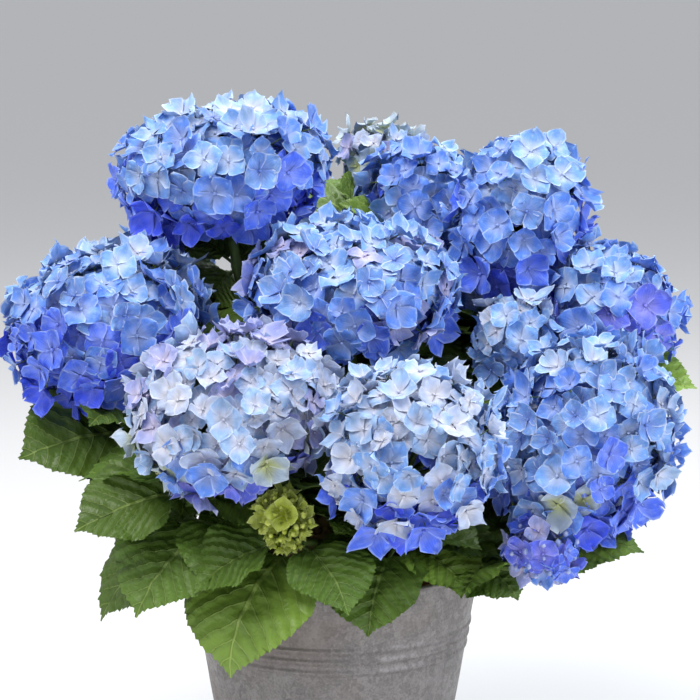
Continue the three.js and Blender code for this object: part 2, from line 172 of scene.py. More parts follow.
def minus(tree, first, second):
    return calc(tree, "SUBTRACT", first, second)


def larger(tree, first, second):
    return calc(tree, "MAXIMUM", first, second)


def noiseAt(tree, place, scale, detail):
    return addNode(tree, "TexNoise", {"Vector": place, "Scale": scale, "Detail": detail}).outputs[0]


def remap(tree, value, low, high, toLow=0.0, toHigh=1.0):
    sockets = {"Value": value, "From Min": low, "From Max": high, "To Min": toLow, "To Max": toHigh}
    return addNode(tree, "MapRange", sockets, interpolation_type="SMOOTHSTEP").outputs[0]


def blendColor(tree, factor, first, second, blendType="MIX"):
    sockets = {0: factor, 6: first, 7: second}
    return addNode(tree, "Mix", sockets, data_type="RGBA", blend_type=blendType).outputs[2]


def newGroup(name, inputs, outputs):
    group = bpy.data.node_groups.new(name, "ShaderNodeTree")
    for label, kind in inputs:
        group.interface.new_socket(label, in_out="INPUT", socket_type="NodeSocket" + kind)
    for label, kind in outputs:
        group.interface.new_socket(label, in_out="OUTPUT", socket_type="NodeSocket" + kind)
    given = group.nodes.new("NodeGroupInput").outputs
    result = group.nodes.new("NodeGroupOutput").inputs
    return group, given, result


def newMaterial(name, **constants):
    material = bpy.data.materials.new(name)
    material.use_nodes = True
    tree = material.node_tree
    shader = tree.nodes["Principled BSDF"]
    for key, value in constants.items():
        shader.inputs[key].default_value = value
    return material, tree, shader


def useGroup(tree, group, values):
    return addNode(tree, "Group", values, node_tree=group).outputs


# the colour sockets of a group, filled from a row of web colours
def colorSockets(labels, codes):
    return {label: linear(code) for label, code in zip(labels, codes)}


def addBump(tree, shader, height, distance, strength=1.0):
    sockets = {"Height": height, "Distance": distance * millimetre, "Strength": strength}
    bump = addNode(tree, "Bump", sockets)
    tree.links.new(bump.outputs[0], shader.inputs["Normal"])


def mappedPlace(tree):
    return addNode(tree, "UVMap", uv_map=bakeMap).outputs[0]


def objectPlace(tree):
    return addNode(tree, "TexCoord").outputs["Object"]


quarterInset = 0.03  # margin kept free round each quarter of the map


# across and along inside one quarter of the map, each from 0 to 1
def localPlace(tree, place):
    parts = addNode(tree, "SeparateXYZ", {0: place})
    spread = []
    for part in (parts.outputs[0], parts.outputs[1]):
        whole = calc(tree, "FRACT", times(tree, part, 2.0))
        spread.append(calc(tree, "DIVIDE", minus(tree, whole, quarterInset), 1 - 2 * quarterInset))
    return spread


# a place in the whole square, moved into one of its quarters
def inQuarter(across, along, index):
    inset, whole = quarterInset, 1 - 2 * quarterInset
    return (inset + whole * across + index % 2) / 2, (inset + whole * along + index // 2) / 2


# petal materials

# the heart, blade and edge of each tint; the pale edge is partly the sepal's own margin and partly
# painted rim highlight
petalTints = {
    "deep": ("#7484f2", "#465ff6", "#8a9df8"),
    "royal": ("#8499f6", "#5478f8", "#aec4fb"),
    "mid": ("#aabff6", "#6292f0", "#bed5fb"),
    "sky": ("#c3d3f4", "#76a6ec", "#cde2f9"),
    # painted shade and highlight: a heart darker than the blade for the shade inside a cupped floret,
    # with a pale rim
    "rimmed": ("#7b9ae4", "#76a2e6", "#dfeafa"),
    "pale": ("#d4d9ee", "#9abcea", "#d4e1f4"),
    "lilac": ("#ccc6e6", "#9ba5e0", "#cdd1ee"),
    "violet": ("#9898f2", "#6576f2", "#b0b9f8"),
    "white": ("#dadbe8", "#b6c5e6", "#dce4f2"),
    "cream": ("#c9d08e", "#b4c6da", "#d6dfe6"),
    "green": ("#b4c034", "#b2c050", "#cdd788"),
}
petalLook = {
    "veins": 9, "veinShow": 0.1, "edgeStart": 0.78, "tipStart": 0.72, "paleEdgeAndHighlight": 0.75, "heartEnd": 0.5,
    "mottle": 0.24, "mottleScale": 3.2, "grain": 9.0, "crumple": 5.5, "wash": 0.45,
    "grainHeight": 0.3, "veinHeight": -0.25, "crumpleHeight": 2.0, "bump": 1.1,
}
petalGloss = {
    "Roughness": 0.6, "Specular IOR Level": 0.25, "Sheen Weight": 0.06, "Sheen Roughness": 0.5,
}


def petalGroup():
    inputs = [("Place", "Vector"), ("Heart", "Color"), ("Blade", "Color"), ("Edge", "Color")]
    group, given, result = newGroup("petalColor", inputs, [("Color", "Color"), ("Height", "Float")])
    across, along = localPlace(group, given["Place"])
    centred = times(group, minus(group, across, 0.5), 2.0)
    sideways = calc(group, "ABSOLUTE", centred)
    grain = noiseAt(group, given["Place"], petalLook["grain"], 3.0)
    swell = noiseAt(group, given["Place"], petalLook["mottleScale"], 1.0)
    folds = noiseAt(group, given["Place"], petalLook["crumple"], 2.0)
    bent = plus(group, centred, times(group, minus(group, grain, 0.5), 0.12))
    wave = calc(group, "SINE", times(group, bent, petalLook["veins"] * math.pi))
    vein = remap(group, wave, 0.55, 1.0)
    fade = times(group, vein, remap(group, along, 0.9, 1.0, 1.0, 0.0))
    heart = remap(group, along, 0.03, petalLook["heartEnd"], 1.0, 0.0)
    wash = times(group, remap(group, folds, 0.45, 0.75), petalLook["wash"])
    color = blendColor(group, wash, given["Blade"], given["Edge"])
    color = blendColor(group, heart, color, given["Heart"])
    # pale rims along the sides and the tip: partly the sepal's own paler margin, partly painted rim
    # highlight
    rim = larger(group, remap(group, sideways, petalLook["edgeStart"], 1.0),
                 remap(group, along, petalLook["tipStart"], 1.0))
    color = blendColor(group, times(group, rim, petalLook["paleEdgeAndHighlight"]), color, given["Edge"])
    color = blendColor(group, times(group, fade, petalLook["veinShow"]), color, given["Edge"])
    shade = remap(group, swell, 0.3, 0.7, 1 - petalLook["mottle"], 1 + petalLook["mottle"] / 2)
    tone = addNode(group, "CombineColor", {0: shade, 1: shade, 2: shade}).outputs[0]
    color = blendColor(group, 1.0, color, tone, "MULTIPLY")
    group.links.new(color, result["Color"])
    ridges = plus(group, times(group, fade, petalLook["veinHeight"]),
                  times(group, grain, petalLook["grainHeight"]))
    ridges = plus(group, ridges, times(group, folds, petalLook["crumpleHeight"]))
    group.links.new(ridges, result["Height"])
    return group


def petalMaterials():
    group = petalGroup()
    materials = []
    for name, codes in petalTints.items():
        material, tree, shader = newMaterial(f"petal_{name}", **petalGloss)
        sockets = {"Place": mappedPlace(tree), **colorSockets(("Heart", "Blade", "Edge"), codes)}
        out = useGroup(tree, group, sockets)
        tree.links.new(out["Color"], shader.inputs["Base Color"])
        addBump(tree, shader, out["Height"], petalLook["bump"], 0.6)
        materials.append(material)
    return materials


# leaf materials

# the deep and light green, the veins and the underside of each tint; the deep green stands partly as
# painted shade in the vein grooves and towards the leaf base, and partly for the leaf's own uneven tone
leafTints = {
    "mature": ("#1d2f07", "#435d13", "#9bb15c", "#57722c"),
    "middling": ("#2a400b", "#54771e", "#a7be66", "#638135"),
    "sunlit": ("#3c5a11", "#70932f", "#b4ca70", "#7a983f"),
    "fresh": ("#3f6413", "#6f972e", "#b2c86c", "#8aab48"),
}
leafLook = {
    "veinPairs": 7, "veinSlant": 0.4, "veinSweep": 0.12, "veinWidth": 0.08, "midribWidth": 0.06,
    "lateralShow": 0.66, "lateralDepth": 0.75, "veinDepth": 0.5, "wander": 0.05, "wanderScale": 11.0,
    "network": 46, "netShow": 0.05, "netHeight": 0.09, "cloudScale": 7.0, "cloudShow": 0.4,
    "cloudHeight": 0.5, "puffHighlight": 0.42, "puffHeight": 0.6, "paleEdgeAndHighlight": 0.5, "underShow": 0.65,
    "roughness": (0.36, 0.54), "bump": 2.6,
}
leafGloss = {"Specular IOR Level": 0.4}


def leafGroup():
    inputs = [("Place", "Vector"), ("Deep", "Color"), ("Lamina", "Color"), ("Vein", "Color")]
    outputs = [("Color", "Color"), ("Height", "Float"), ("Roughness", "Float")]
    group, given, result = newGroup("leafColor", inputs, outputs)
    across, along = localPlace(group, given["Place"])
    sideways = calc(group, "ABSOLUTE", times(group, minus(group, across, 0.5), 2.0))
    slant = times(group, sideways, leafLook["veinSlant"])
    sweep = times(group, calc(group, "POWER", sideways, 2.0), leafLook["veinSweep"])
    rootward = minus(group, minus(group, along, slant), sweep)
    sway = noiseAt(group, given["Place"], leafLook["wanderScale"], 1.0)
    sway = times(group, minus(group, sway, 0.5), leafLook["wander"])
    rootward = plus(group, rootward, sway)
    phase = calc(group, "FRACT", times(group, rootward, leafLook["veinPairs"]))
    nearest = calc(group, "MINIMUM", phase, minus(group, 1.0, phase))
    width = times(group, remap(group, sideways, 0.0, 1.0, 1.0, 0.45), leafLook["veinWidth"])
    lateral = minus(group, 1.0, remap(group, calc(group, "DIVIDE", nearest, width), 0.35, 1.0))
    taper = times(group, remap(group, along, 0.0, 1.0, 1.0, 0.3), leafLook["midribWidth"])
    midrib = minus(group, 1.0, remap(group, calc(group, "DIVIDE", sideways, taper), 0.4, 1.0))
    sunk = larger(group, times(group, lateral, leafLook["lateralDepth"]), midrib)
    seen = larger(group, times(group, lateral, leafLook["lateralShow"]), midrib)
    cells = addNode(group, "TexVoronoi", {"Vector": given["Place"], "Scale": leafLook["network"]},
                    feature="DISTANCE_TO_EDGE").outputs["Distance"]
    net = minus(group, 1.0, remap(group, cells, 0.02, 0.14))
    cloud = noiseAt(group, given["Place"], leafLook["cloudScale"], 4.0)
    # painted highlight on the puffs between the veins and painted shade in the vein grooves, over the
    # leaf's own uneven tone from the cloud
    puff = remap(group, nearest, 0.0, 0.5)
    lit = plus(group, times(group, puff, leafLook["puffHighlight"]),
               remap(group, cloud, 0.35, 0.7, 0.0, leafLook["cloudShow"]))
    # painted shade towards the leaf base, with the tip and margins lighter
    outer = plus(group, along, sideways)
    lit = plus(group, lit, remap(group, outer, 0.7, 1.5, 0.0, leafLook["paleEdgeAndHighlight"]))
    color = blendColor(group, lit, given["Deep"], given["Lamina"])
    color = blendColor(group, times(group, net, leafLook["netShow"]), color, given["Vein"])
    color = blendColor(group, seen, color, given["Vein"])
    group.links.new(color, result["Color"])
    quilt = plus(group, times(group, puff, leafLook["puffHeight"]),
                 times(group, cloud, leafLook["cloudHeight"]))
    quilt = plus(group, quilt, remap(group, cells, 0.0, 0.3, 0.0, leafLook["netHeight"]))
    quilt = minus(group, quilt, times(group, sunk, leafLook["veinDepth"]))
    group.links.new(quilt, result["Height"])
    satin = remap(group, cloud, 0.3, 0.7, *leafLook["roughness"])
    group.links.new(satin, result["Roughness"])
    return group


def leafMaterials():
    group = leafGroup()
    materials = []
    for name, codes in leafTints.items():
        material, tree, shader = newMaterial(f"leaf_{name}", **leafGloss)
        sockets = {"Place": mappedPlace(tree), **colorSockets(("Deep", "Lamina", "Vein"), codes)}
        out = useGroup(tree, group, sockets)
        underside = addNode(tree, "NewGeometry").outputs["Backfacing"]
        pale = times(tree, underside, leafLook["underShow"])
        color = blendColor(tree, pale, out["Color"], linear(codes[3]))
        tree.links.new(color, shader.inputs["Base Color"])
        tree.links.new(out["Roughness"], shader.inputs["Roughness"])
        addBump(tree, shader, out["Height"], leafLook["bump"], 0.8)
        materials.append(material)
    return materials


# stem, bark, zinc, terracotta and compost materials


# two noises mixed over two colours, with a few spots of a third: bark, stems and compost use it
def patchGroup():
    inputs = [("Place", "Vector"), ("Base", "Color"), ("Patch", "Color"), ("Spot", "Color"),
              ("Scale", "Float"), ("Spots", "Float")]
    outputs = [("Color", "Color"), ("Height", "Float"), ("Mask", "Float")]
    group, given, result = newGroup("patchyColor", inputs, outputs)
    sockets = {"Vector": given["Place"], "Scale": given["Scale"], "Detail": 5.0, "Roughness": 0.6}
    broad = addNode(group, "TexNoise", sockets).outputs[0]
    fineScale = times(group, given["Scale"], 3.4)
    sockets = {"Vector": given["Place"], "Scale": fineScale}
    cells = addNode(group, "TexVoronoi", sockets).outputs["Distance"]
    mask = remap(group, broad, 0.38, 0.64)
    spots = times(group, remap(group, cells, 0.1, 0.26, 1.0, 0.0), given["Spots"])
    color = blendColor(group, mask, given["Base"], given["Patch"])
    color = blendColor(group, spots, color, given["Spot"])
    group.links.new(color, result["Color"])
    group.links.new(plus(group, broad, times(group, cells, 0.4)), result["Height"])
    group.links.new(mask, result["Mask"])
    return group


patchLooks = {
    "canebark": {
        "Base": "#6a5335", "Patch": "#927a52", "Spot": "#3c2d1e", "Scale": 130.0, "Spots": 0.6,
        "roughness": (0.72, 0.9), "bump": 0.9, "stretch": (1, 1, 0.35),
    },
    "greenstem": {
        "Base": "#4a602b", "Patch": "#6a843c", "Spot": "#5a4630", "Scale": 160.0, "Spots": 0.4,
        "roughness": (0.45, 0.63), "bump": 0.3, "stretch": (1, 1, 0.3),
    },
    "compostCrumb": {
        "Base": "#2c1d14", "Patch": "#4a3323", "Spot": "#120b07", "Scale": 210.0, "Spots": 0.8,
        "roughness": (0.8, 0.98), "bump": 1.5, "stretch": (1, 1, 1),
    },
}


def patchyMaterial(name, group):
    material, tree, shader = newMaterial(name)
    look = patchLooks[name]
    place = addNode(tree, "Mapping", {"Vector": objectPlace(tree), "Scale": look["stretch"]}).outputs[0]
    labels = ("Base", "Patch", "Spot")
    out = useGroup(tree, group, {
        "Place": place, "Scale": look["Scale"], "Spots": look["Spots"],
        **colorSockets(labels, [look[label] for label in labels]),
    })
    tree.links.new(out["Color"], shader.inputs["Base Color"])
    tree.links.new(remap(tree, out["Mask"], 0.0, 1.0, *look["roughness"]), shader.inputs["Roughness"])
    addBump(tree, shader, out["Height"], look["bump"], 0.8)
    return material


zincLook = {
    "dark": "#726e6e", "light": "#959190", "stain": "#7f726c", "stainShow": 0.4, "metallic": 0.6,
    "spangle": 230.0, "spangleShare": 0.14, "fine": 560.0, "fineShare": 0.46, "streak": 75.0,
    "streakShare": 0.2, "cloud": 42.0, "cloudShare": 0.2, "roughness": (0.42, 0.62), "bump": 0.2,
}


def zincMaterial():
    material, tree, shader = newMaterial("spangledZinc", Metallic=zincLook["metallic"])
    place = objectPlace(tree)
    drift = addNode(tree, "TexNoise", {"Vector": place, "Scale": 60.0, "Detail": 3.0}).outputs["Color"]
    warped = addNode(tree, "VectorMath", {0: drift, 3: 0.01}, operation="SCALE").outputs[0]
    bent = addNode(tree, "VectorMath", {0: place, 1: warped}, operation="ADD").outputs[0]
    spangles = addNode(tree, "TexVoronoi", {"Vector": bent, "Scale": zincLook["spangle"]})
    crystal = spangles.outputs["Color"]
    tone = addNode(tree, "SeparateColor", {0: crystal}).outputs[0]
    fine = noiseAt(tree, place, zincLook["fine"], 4.0)
    upright = addNode(tree, "Mapping", {"Vector": place, "Scale": (1, 1, 0.16)}).outputs[0]
    streak = noiseAt(tree, upright, zincLook["streak"], 5.0)
    cloud = noiseAt(tree, place, zincLook["cloud"], 5.0)
    mixed = times(tree, tone, zincLook["spangleShare"])
    for layer, share in ((fine, "fineShare"), (streak, "streakShare"), (cloud, "cloudShare")):
        mixed = plus(tree, mixed, times(tree, layer, zincLook[share]))
    grey = remap(tree, mixed, 0.28, 0.74)
    color = blendColor(tree, grey, linear(zincLook["dark"]), linear(zincLook["light"]))
    broad = noiseAt(tree, place, 11.0, 4.0)
    stain = times(tree, remap(tree, broad, 0.48, 0.7), zincLook["stainShow"])
    color = blendColor(tree, stain, color, linear(zincLook["stain"]))
    tree.links.new(color, shader.inputs["Base Color"])
    low, high = zincLook["roughness"]
    tree.links.new(remap(tree, mixed, 0.3, 0.7, high, low), shader.inputs["Roughness"])
    addBump(tree, shader, mixed, zincLook["bump"], 0.6)
    return material


potLook = {
    "clay": "#a2553a", "faded": "#b9745a", "cloud": 34.0, "dust": "#8d7460", "dustShow": 0.5,
    "grit": 600.0, "roughness": (0.5, 0.75), "bump": 0.3,
}


def potMaterial():
    material, tree, shader = newMaterial("terracottaPlastic")
    place = objectPlace(tree)
    cloud = noiseAt(tree, place, potLook["cloud"], 5.0)
    grit = noiseAt(tree, place, potLook["grit"], 2.0)
    fade = remap(tree, cloud, 0.35, 0.65)
    color = blendColor(tree, fade, linear(potLook["clay"]), linear(potLook["faded"]))
    dust = times(tree, remap(tree, grit, 0.5, 0.75), potLook["dustShow"])
    color = blendColor(tree, dust, color, linear(potLook["dust"]))
    tree.links.new(color, shader.inputs["Base Color"])
    tree.links.new(remap(tree, cloud, 0.3, 0.7, *potLook["roughness"]), shader.inputs["Roughness"])
    addBump(tree, shader, grit, potLook["bump"], 0.4)
    return material


beadLook = {
    "bead_green": ("#a5b530", "#cdd46c"), "bead_blue": ("#7f93cf", "#b9c3e2"),
    "mottle": 240.0, "roughness": 0.5, "bump": 0.2,
}


def beadMaterial(name):
    material, tree, shader = newMaterial(name, Roughness=beadLook["roughness"])
    cloud = noiseAt(tree, objectPlace(tree), beadLook["mottle"], 3.0)
    first, second = beadLook[name]
    color = blendColor(tree, remap(tree, cloud, 0.35, 0.65), linear(first), linear(second))
    tree.links.new(color, shader.inputs["Base Color"])
    addBump(tree, shader, cloud, beadLook["bump"], 0.5)
    return material


petals = petalMaterials()
petalNames = list(petalTints)
leafFinishes = leafMaterials()
patches = patchGroup()
barkFinish = patchyMaterial("canebark", patches)
stemFinish = patchyMaterial("greenstem", patches)
compostFinish = patchyMaterial("compostCrumb", patches)
zincFinish = zincMaterial()
potFinish = potMaterial()
greenBead = beadMaterial("bead_green")
blueBead = beadMaterial("bead_blue")
print("materials made")

# mesh helpers


def toMesh(bm, name):
    mesh = bpy.data.meshes.new(name)
    bm.to_mesh(mesh)
    bm.free()
    return mesh


# adds a small mesh to a growing one, and drops it
def joinMesh(target, mesh, materialIndex=0):
    mesh.polygons.foreach_set("material_index", [materialIndex] * len(mesh.polygons))
    target.from_mesh(mesh)
    bpy.data.meshes.remove(mesh)


# adds a moved copy of a small mesh
def stampMesh(target, template, matrix, materialIndex=0):
    copy = template.copy()
    copy.transform(matrix)
    joinMesh(target, copy, materialIndex)


# adds a copy of a grid whose points lie at new places
def shapeMesh(target, template, places, materialIndex):
    copy = template.copy()
    copy.vertices.foreach_set("co", places)
    joinMesh(target, copy, materialIndex)


def ballMesh(name):
    bm = bmesh.new()
    bmesh.ops.create_icosphere(bm, subdivisions=1, radius=1)
    return toMesh(bm, name)


def newJoin():
    bm = bmesh.new()
    bm.loops.layers.uv.new(bakeMap)
    return bm


def finishPiece(name, bm, materials, nodes, sharpAngle=None):
    bmesh.ops.scale(bm, vec=(millimetre,) * 3, verts=bm.verts)
    mesh = toMesh(bm, name)
    for material in materials:
        mesh.materials.append(material)
    mesh.shade_smooth()
    if sharpAngle is not None:
        mesh.set_sharp_from_angle(angle=math.radians(sharpAngle))
    piece = bpy.data.objects.new(name, mesh)
    scene.collection.objects.link(piece)
    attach(piece, "root")
    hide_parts(*nodes)
    mesh.calc_loop_triangles()
    print(f"{name}: {len(mesh.loop_triangles)} triangles")
    return piece


# turns a chain of (radius, height) points round the upright axis
def spinProfile(points, steps):
    bm = bmesh.new()
    verts = [bm.verts.new((radius, 0, height)) for radius, height in points]
    edges = [bm.edges.new(pair) for pair in zip(verts, verts[1:])]
    bmesh.ops.spin(bm, geom=verts + edges, cent=(0, 0, 0), axis=(0, 0, 1), dvec=(0, 0, 0),
                   angle=2 * math.pi, steps=steps, use_merge=True, use_duplicate=False)
    bmesh.ops.remove_doubles(bm, verts=bm.verts, dist=1e-4)
    bmesh.ops.recalc_face_normals(bm, faces=bm.faces)
    return bm


# a closed tube through (point, radius) spots; relief(angle, step) adds to the radius
def limbMesh(spots, sides, relief=None):
    bm = bmesh.new()
    last = len(spots) - 1
    bmesh.ops.create_grid(bm, x_segments=sides, y_segments=last, size=1)
    frames = []
    for step, (point, radius) in enumerate(spots):
        before, after = spots[max(step - 1, 0)][0], spots[min(step + 1, last)][0]
        tangent = (after - before).normalized()
        level = Vector((-tangent.y, tangent.x, 0))
        level = level.normalized() if level.length > 1e-3 else Vector((1, 0, 0))
        frames.append((point, radius, level, tangent.cross(level)))
    for vert in bm.verts:
        step = round((vert.co.y + 1) / 2 * last)
        angle = (vert.co.x + 1) * math.pi
        point, radius, level, raised = frames[step]
        reach = radius + (relief(angle % (2 * math.pi), step) if relief else 0)
        vert.co = point + level * (math.cos(angle) * reach) + raised * (math.sin(angle) * reach)
    bmesh.ops.remove_doubles(bm, verts=bm.verts, dist=1e-3)
    bmesh.ops.holes_fill(bm, edges=[edge for edge in bm.edges if edge.is_boundary], sides=0)
    bmesh.ops.recalc_face_normals(bm, faces=bm.faces)
    return toMesh(bm, "limb")


def addLimb(target, spots, sides, relief=None, materialIndex=0):
    joinMesh(target, limbMesh(spots, sides, relief), materialIndex)


# how the shrub grows: the source's rule

crown = {
    "radius": 32, "ground": 222.3, "shoulder": 232, "flare": ((38, 0), (36.8, 2), (35, 4), (33.4, 6.5)),
}
growth = {"neck": 30, "neckShare": 0.5, "bend": 0.36, "gap": 0.3, "pathSteps": 64, "rooted": 3}

# the middle of each head, its radius and half height, its lean and heading, and the petal tints that
# its florets are dealt from, from its top down, the deeper tints low down being partly the head's own
# colour and partly painted shade; for some, also the balls of space that its florets leave free, how
# far its low florets hang down, the size of its florets, or a leaf that it goes without
shoots = {
    "top_left": {
        "at": (-90, 55, 536), "radius": 94, "half": 60, "lean": 7, "toward": 160, "skirt": 14,
        "tints": "pale sky sky mid sky sky rimmed mid royal mid royal royal deep",
    },
    "left": {
        "at": (-182, -5, 415), "radius": 88, "half": 70, "lean": 18, "toward": 190, "bare": [(0.9, 78)],
        "tints": "pale sky sky mid sky rimmed mid royal mid royal deep royal deep",
    },
    "centre": {
        "at": (15, -25, 447), "radius": 91, "half": 58, "lean": 12, "toward": 275,
        "tints": "sky sky lilac sky rimmed sky mid sky mid lilac mid royal royal",
    },
    "front_left": {
        "at": (-76, -130, 367), "radius": 85, "half": 62, "lean": 26, "toward": 240, "scale": 0.85,
        "tints": "lilac pale white lilac pale white pale white lilac cream mid pale violet",
        "gaps": [((-10, -186, 330), 20)],
    },
    "front_right": {
        "at": (57, -190, 345), "radius": 74, "half": 70, "lean": 34, "toward": 285, "scale": 0.83,
        "tints": "white pale white pale sky white pale white sky pale mid white royal royal deep",
        "gaps": [((118, -205, 290), 34), ((12, -240, 330), 15), ((58, -258, 352), 11),
                 ((-4, -205, 290), 22), ((-32, -205, 352), 34)],
    },
    "right_front": {
        "at": (191, -100, 337), "radius": 76, "half": 90, "lean": 24, "toward": 335, "scale": 0.9,
        "tints": "sky pale sky mid sky rimmed sky mid pale mid royal cream mid royal royal deep",
        "gaps": [((268, -100, 276), 28)],
    },
    "top_middle": {
        "at": (72, 110, 499), "radius": 63, "half": 59, "lean": 8, "toward": 80, "skirt": 12,
        "tints": "sky mid sky rimmed mid royal royal",
        "gaps": [((24, 86, 524), 24)],
    },
    "top_right": {
        "at": (151, 30, 503), "radius": 61, "half": 69, "lean": 10, "toward": 20, "skirt": 18,
        "tints": "sky mid sky sky mid rimmed mid royal mid royal deep",
    },
    "right": {
        "at": (223, 15, 424), "radius": 66, "half": 58, "lean": 26, "toward": 0,
        "tints": "sky mid sky violet mid lilac mid violet royal deep",
    },
    "inner_right": {
        "at": (141, -40, 407), "radius": 38, "half": 38, "lean": 10, "toward": 310,
        "tints": "pale white sky pale sky pale sky rimmed",
    },
    "top_back": {
        "at": (43, 200, 532), "radius": 44, "half": 34, "lean": 14, "toward": 80,
        "tints": "cream white pale lilac cream pale",
    },
    "back_left": {
        "at": (-165, 165, 410), "radius": 76, "half": 58, "lean": 26, "toward": 135,
        "tints": "sky pale sky mid sky mid royal mid royal deep",
    },
    "back": {
        "at": (-20, 188, 430), "radius": 70, "half": 54, "lean": 20, "toward": 95,
        "tints": "pale lilac sky pale lilac mid violet royal",
    },
    "back_right": {
        "at": (147, 168, 418), "radius": 75, "half": 58, "lean": 26, "toward": 48,
        "tints": "pale sky mid sky mid royal mid deep",
    },
    "far_right": {
        "at": (221, 99, 343), "radius": 63, "half": 55, "lean": 34, "toward": 25,
        "tints": "sky mid sky mid royal violet royal deep",
    },
    "low_back_left": {
        "at": (-75, 212, 322), "radius": 66, "half": 54, "lean": 40, "toward": 108,
        "tints": "white pale lilac pale sky pale lilac mid",
    },
    "low_back_right": {
        "at": (100, 222, 318), "radius": 71, "half": 56, "lean": 40, "toward": 66,
        "tints": "cream pale sky pale sky mid royal deep",
    },
}

# leaves that hang where the front view shows them: share of the stem, tip, bend, breadth, twist
seenLeaves = {
    "left": [
        (0.82, (-246, -66, 316), 26, 84, -44, {"tint": "mature"}),
        (0.72, (-170, -84, 268), 50, 66, -24),
    ],
    "front_left": [
        (0.9, (-197, -127, 272), 34, 64, -44, {"petiole": 0.44}),
        (0.62, (-112, -126, 292), 34, 62, -30),
        (0.94, (18, -120, 322), 30, 58, 24),
    ],
    "right_front": [
        (0.72, (240, -100, 250), 40, 58, 34, {"tint": "sunlit"}),
        (0.66, (254, -62, 276), 26, 60, 34),
    ],
    "right": [(0.94, (288, -28, 366), 24, 62, 34, {"tint": "fresh"})],
    "top_back": [(0.9, (0, 128, 512), 22, 62, -50, {"tint": "sunlit"})],
}

# smaller leaves that close the gaps which the front view shows as dark green
gapLeaves = {
    "left": [
        (0.9, (-188, -86, 346), 50, 60, -24),
        (0.6, (-118, -74, 270), 50, 64, -20),
    ],
    "right_front": [
        (0.5, (146, -126, 262), 50, 58, 10),
        (0.42, (134, -86, 238), 50, 62, 0),
    ],
    "top_left": [
        (0.9, (-104, 44, 418), 40, 60, -34),
        (0.84, (-62, 66, 424), 40, 62, 30),
        (0.84, (-34, 88, 489), 24, 60, 20),
        (0.88, (-56, 94, 496), 20, 60, 10),
        (0.9, (-124, 72, 476), 40, 48, -20),
    ],
    "top_middle": [
        (0.95, (4, 74, 504), 60, 54, -30, {"tint": "sunlit"}),
    ],
    "front_left": [
        (0.6, (-104, -96, 262), 40, 60, -20),
        (0.7, (-2, -118, 284), 36, 52, 20),
    ],
    "front_right": [
        (0.55, (128, -116, 248), 44, 66, 18),
        (0.62, (112, -146, 262), 40, 60, 10),
        (0.66, (2, -160, 278), 40, 58, -12),
    ],
}

# low side shoots whose leaves hang over the rim
rimShoots = {
    "front_left": {"heading": 226, "climb": 16, "end": (-84, -88, 272), "leaves": [
        (0.98, (-150, -140, 208), 56, 84, -18),
        (0.8, (-184, -74, 188), 64, 84, -30),
        (0.9, (-92, -150, 232), 48, 62, -14),
    ]},
    "front": {"heading": 258, "climb": 14, "end": (-32, -144, 268), "buds": (19, 26), "leaves": [
        (0.55, (-78, -152, 164), 84, 108, -6, {"tint": "sunlit"}),
        (0.85, (12, -172, 218), 62, 62, 14, {"tint": "middling"}),
        (0.97, (-104, -154, 230), 50, 66, -22),
    ]},
    "front_right": {"heading": 303, "climb": 9, "end": (50, -106, 256), "leaves": [
        (0.98, (26, -152, 196), 66, 78, 4, {"tint": "middling"}),
        (0.9, (104, -136, 226), 56, 66, 20),
    ]},
    "right_front": {"heading": 319, "climb": 7, "end": (146, -130, 243), "buds": (28, 23), "leaves": [
        (0.6, (142, -112, 214), 70, 64, 20),
        (0.8, (96, -150, 226), 60, 58, 10),
    ]},
    "back_right": {"heading": 42, "climb": 12, "end": (92, 84, 262), "leaves": [
        (0.98, (148, 138, 196), 62, 80, 6),
        (0.85, (176, 60, 206), 62, 76, 18),
        (0.7, (40, 158, 200), 72, 78, -18),
    ]},
    "back_left": {"heading": 150, "climb": 12, "end": (-108, 62, 262), "leaves": [
        (0.98, (-178, 92, 204), 62, 80, -6),
        (0.85, (-178, 22, 210), 62, 76, -20),
        (0.7, (-98, 158, 198), 72, 78, 18),
    ]},
}

crownMiddle = Vector((0, 0, crown["shoulder"]))


def direction(heading, climb):
    heading, climb = math.radians(heading), math.radians(climb)
    flat = math.cos(climb)
    return Vector((flat * math.cos(heading), flat * math.sin(heading), math.sin(climb)))


def headAxis(shoot):
    return direction(shoot["toward"], 90 - shoot["lean"])


def headFoot(shoot):
    return Vector(shoot["at"]) - headAxis(shoot) * (shoot["half"] * growth["neckShare"] + growth["neck"])


def stemPath(end, startWay, endWay):
    start = crownMiddle + startWay * (crown["radius"] + growth["gap"])
    hold = (end - start).length * growth["bend"]
    points = interpolate_bezier(start, start + startWay * hold, end - endWay * hold, end,
                                growth["pathSteps"] + 1)
    shares = [0.0]
    for before, after in zip(points, points[1:]):
        shares.append(shares[-1] + (after - before).length)
    return points, [share / shares[-1] for share in shares]


def shootPath(shoot):
    foot = headFoot(shoot)
    return stemPath(foot, (foot - crownMiddle).normalized(), headAxis(shoot))


def rimPath(shoot):
    away = direction(shoot["heading"], shoot["climb"])
    return stemPath(Vector(shoot["end"]), away, away)


def pointAlong(path, share):
    points, shares = path
    after = min(bisect_right(shares, share), len(shares) - 1)
    part = (share - shares[after - 1]) / (shares[after] - shares[after - 1])
    return points[after - 1].lerp(points[after], part)


# (point, radius) spots along a stretch of a path
def stretchOf(path, low, high, steps, lowRadius, highRadius):
    parts = [step / steps for step in range(steps + 1)]
    return [(pointAlong(path, low + (high - low) * part), lowRadius + (highRadius - lowRadius) * part)
            for part in parts]


# the first spot of a limb moves in, so that the limb starts inside the trunk
def rootedSpots(spots, swell=0):
    start, radius = spots[0]
    away = (start - crownMiddle).normalized()
    return [(start - away * growth["rooted"], radius + swell)] + spots[1:]


# a point on a dome, by the sine of its latitude and its turn
def domePoint(radius, half, climb, turn):
    flat = math.sqrt(max(0.0, 1 - climb * climb))
    return Vector((flat * math.cos(turn) * radius, flat * math.sin(turn) * radius, climb * half))


# bucket

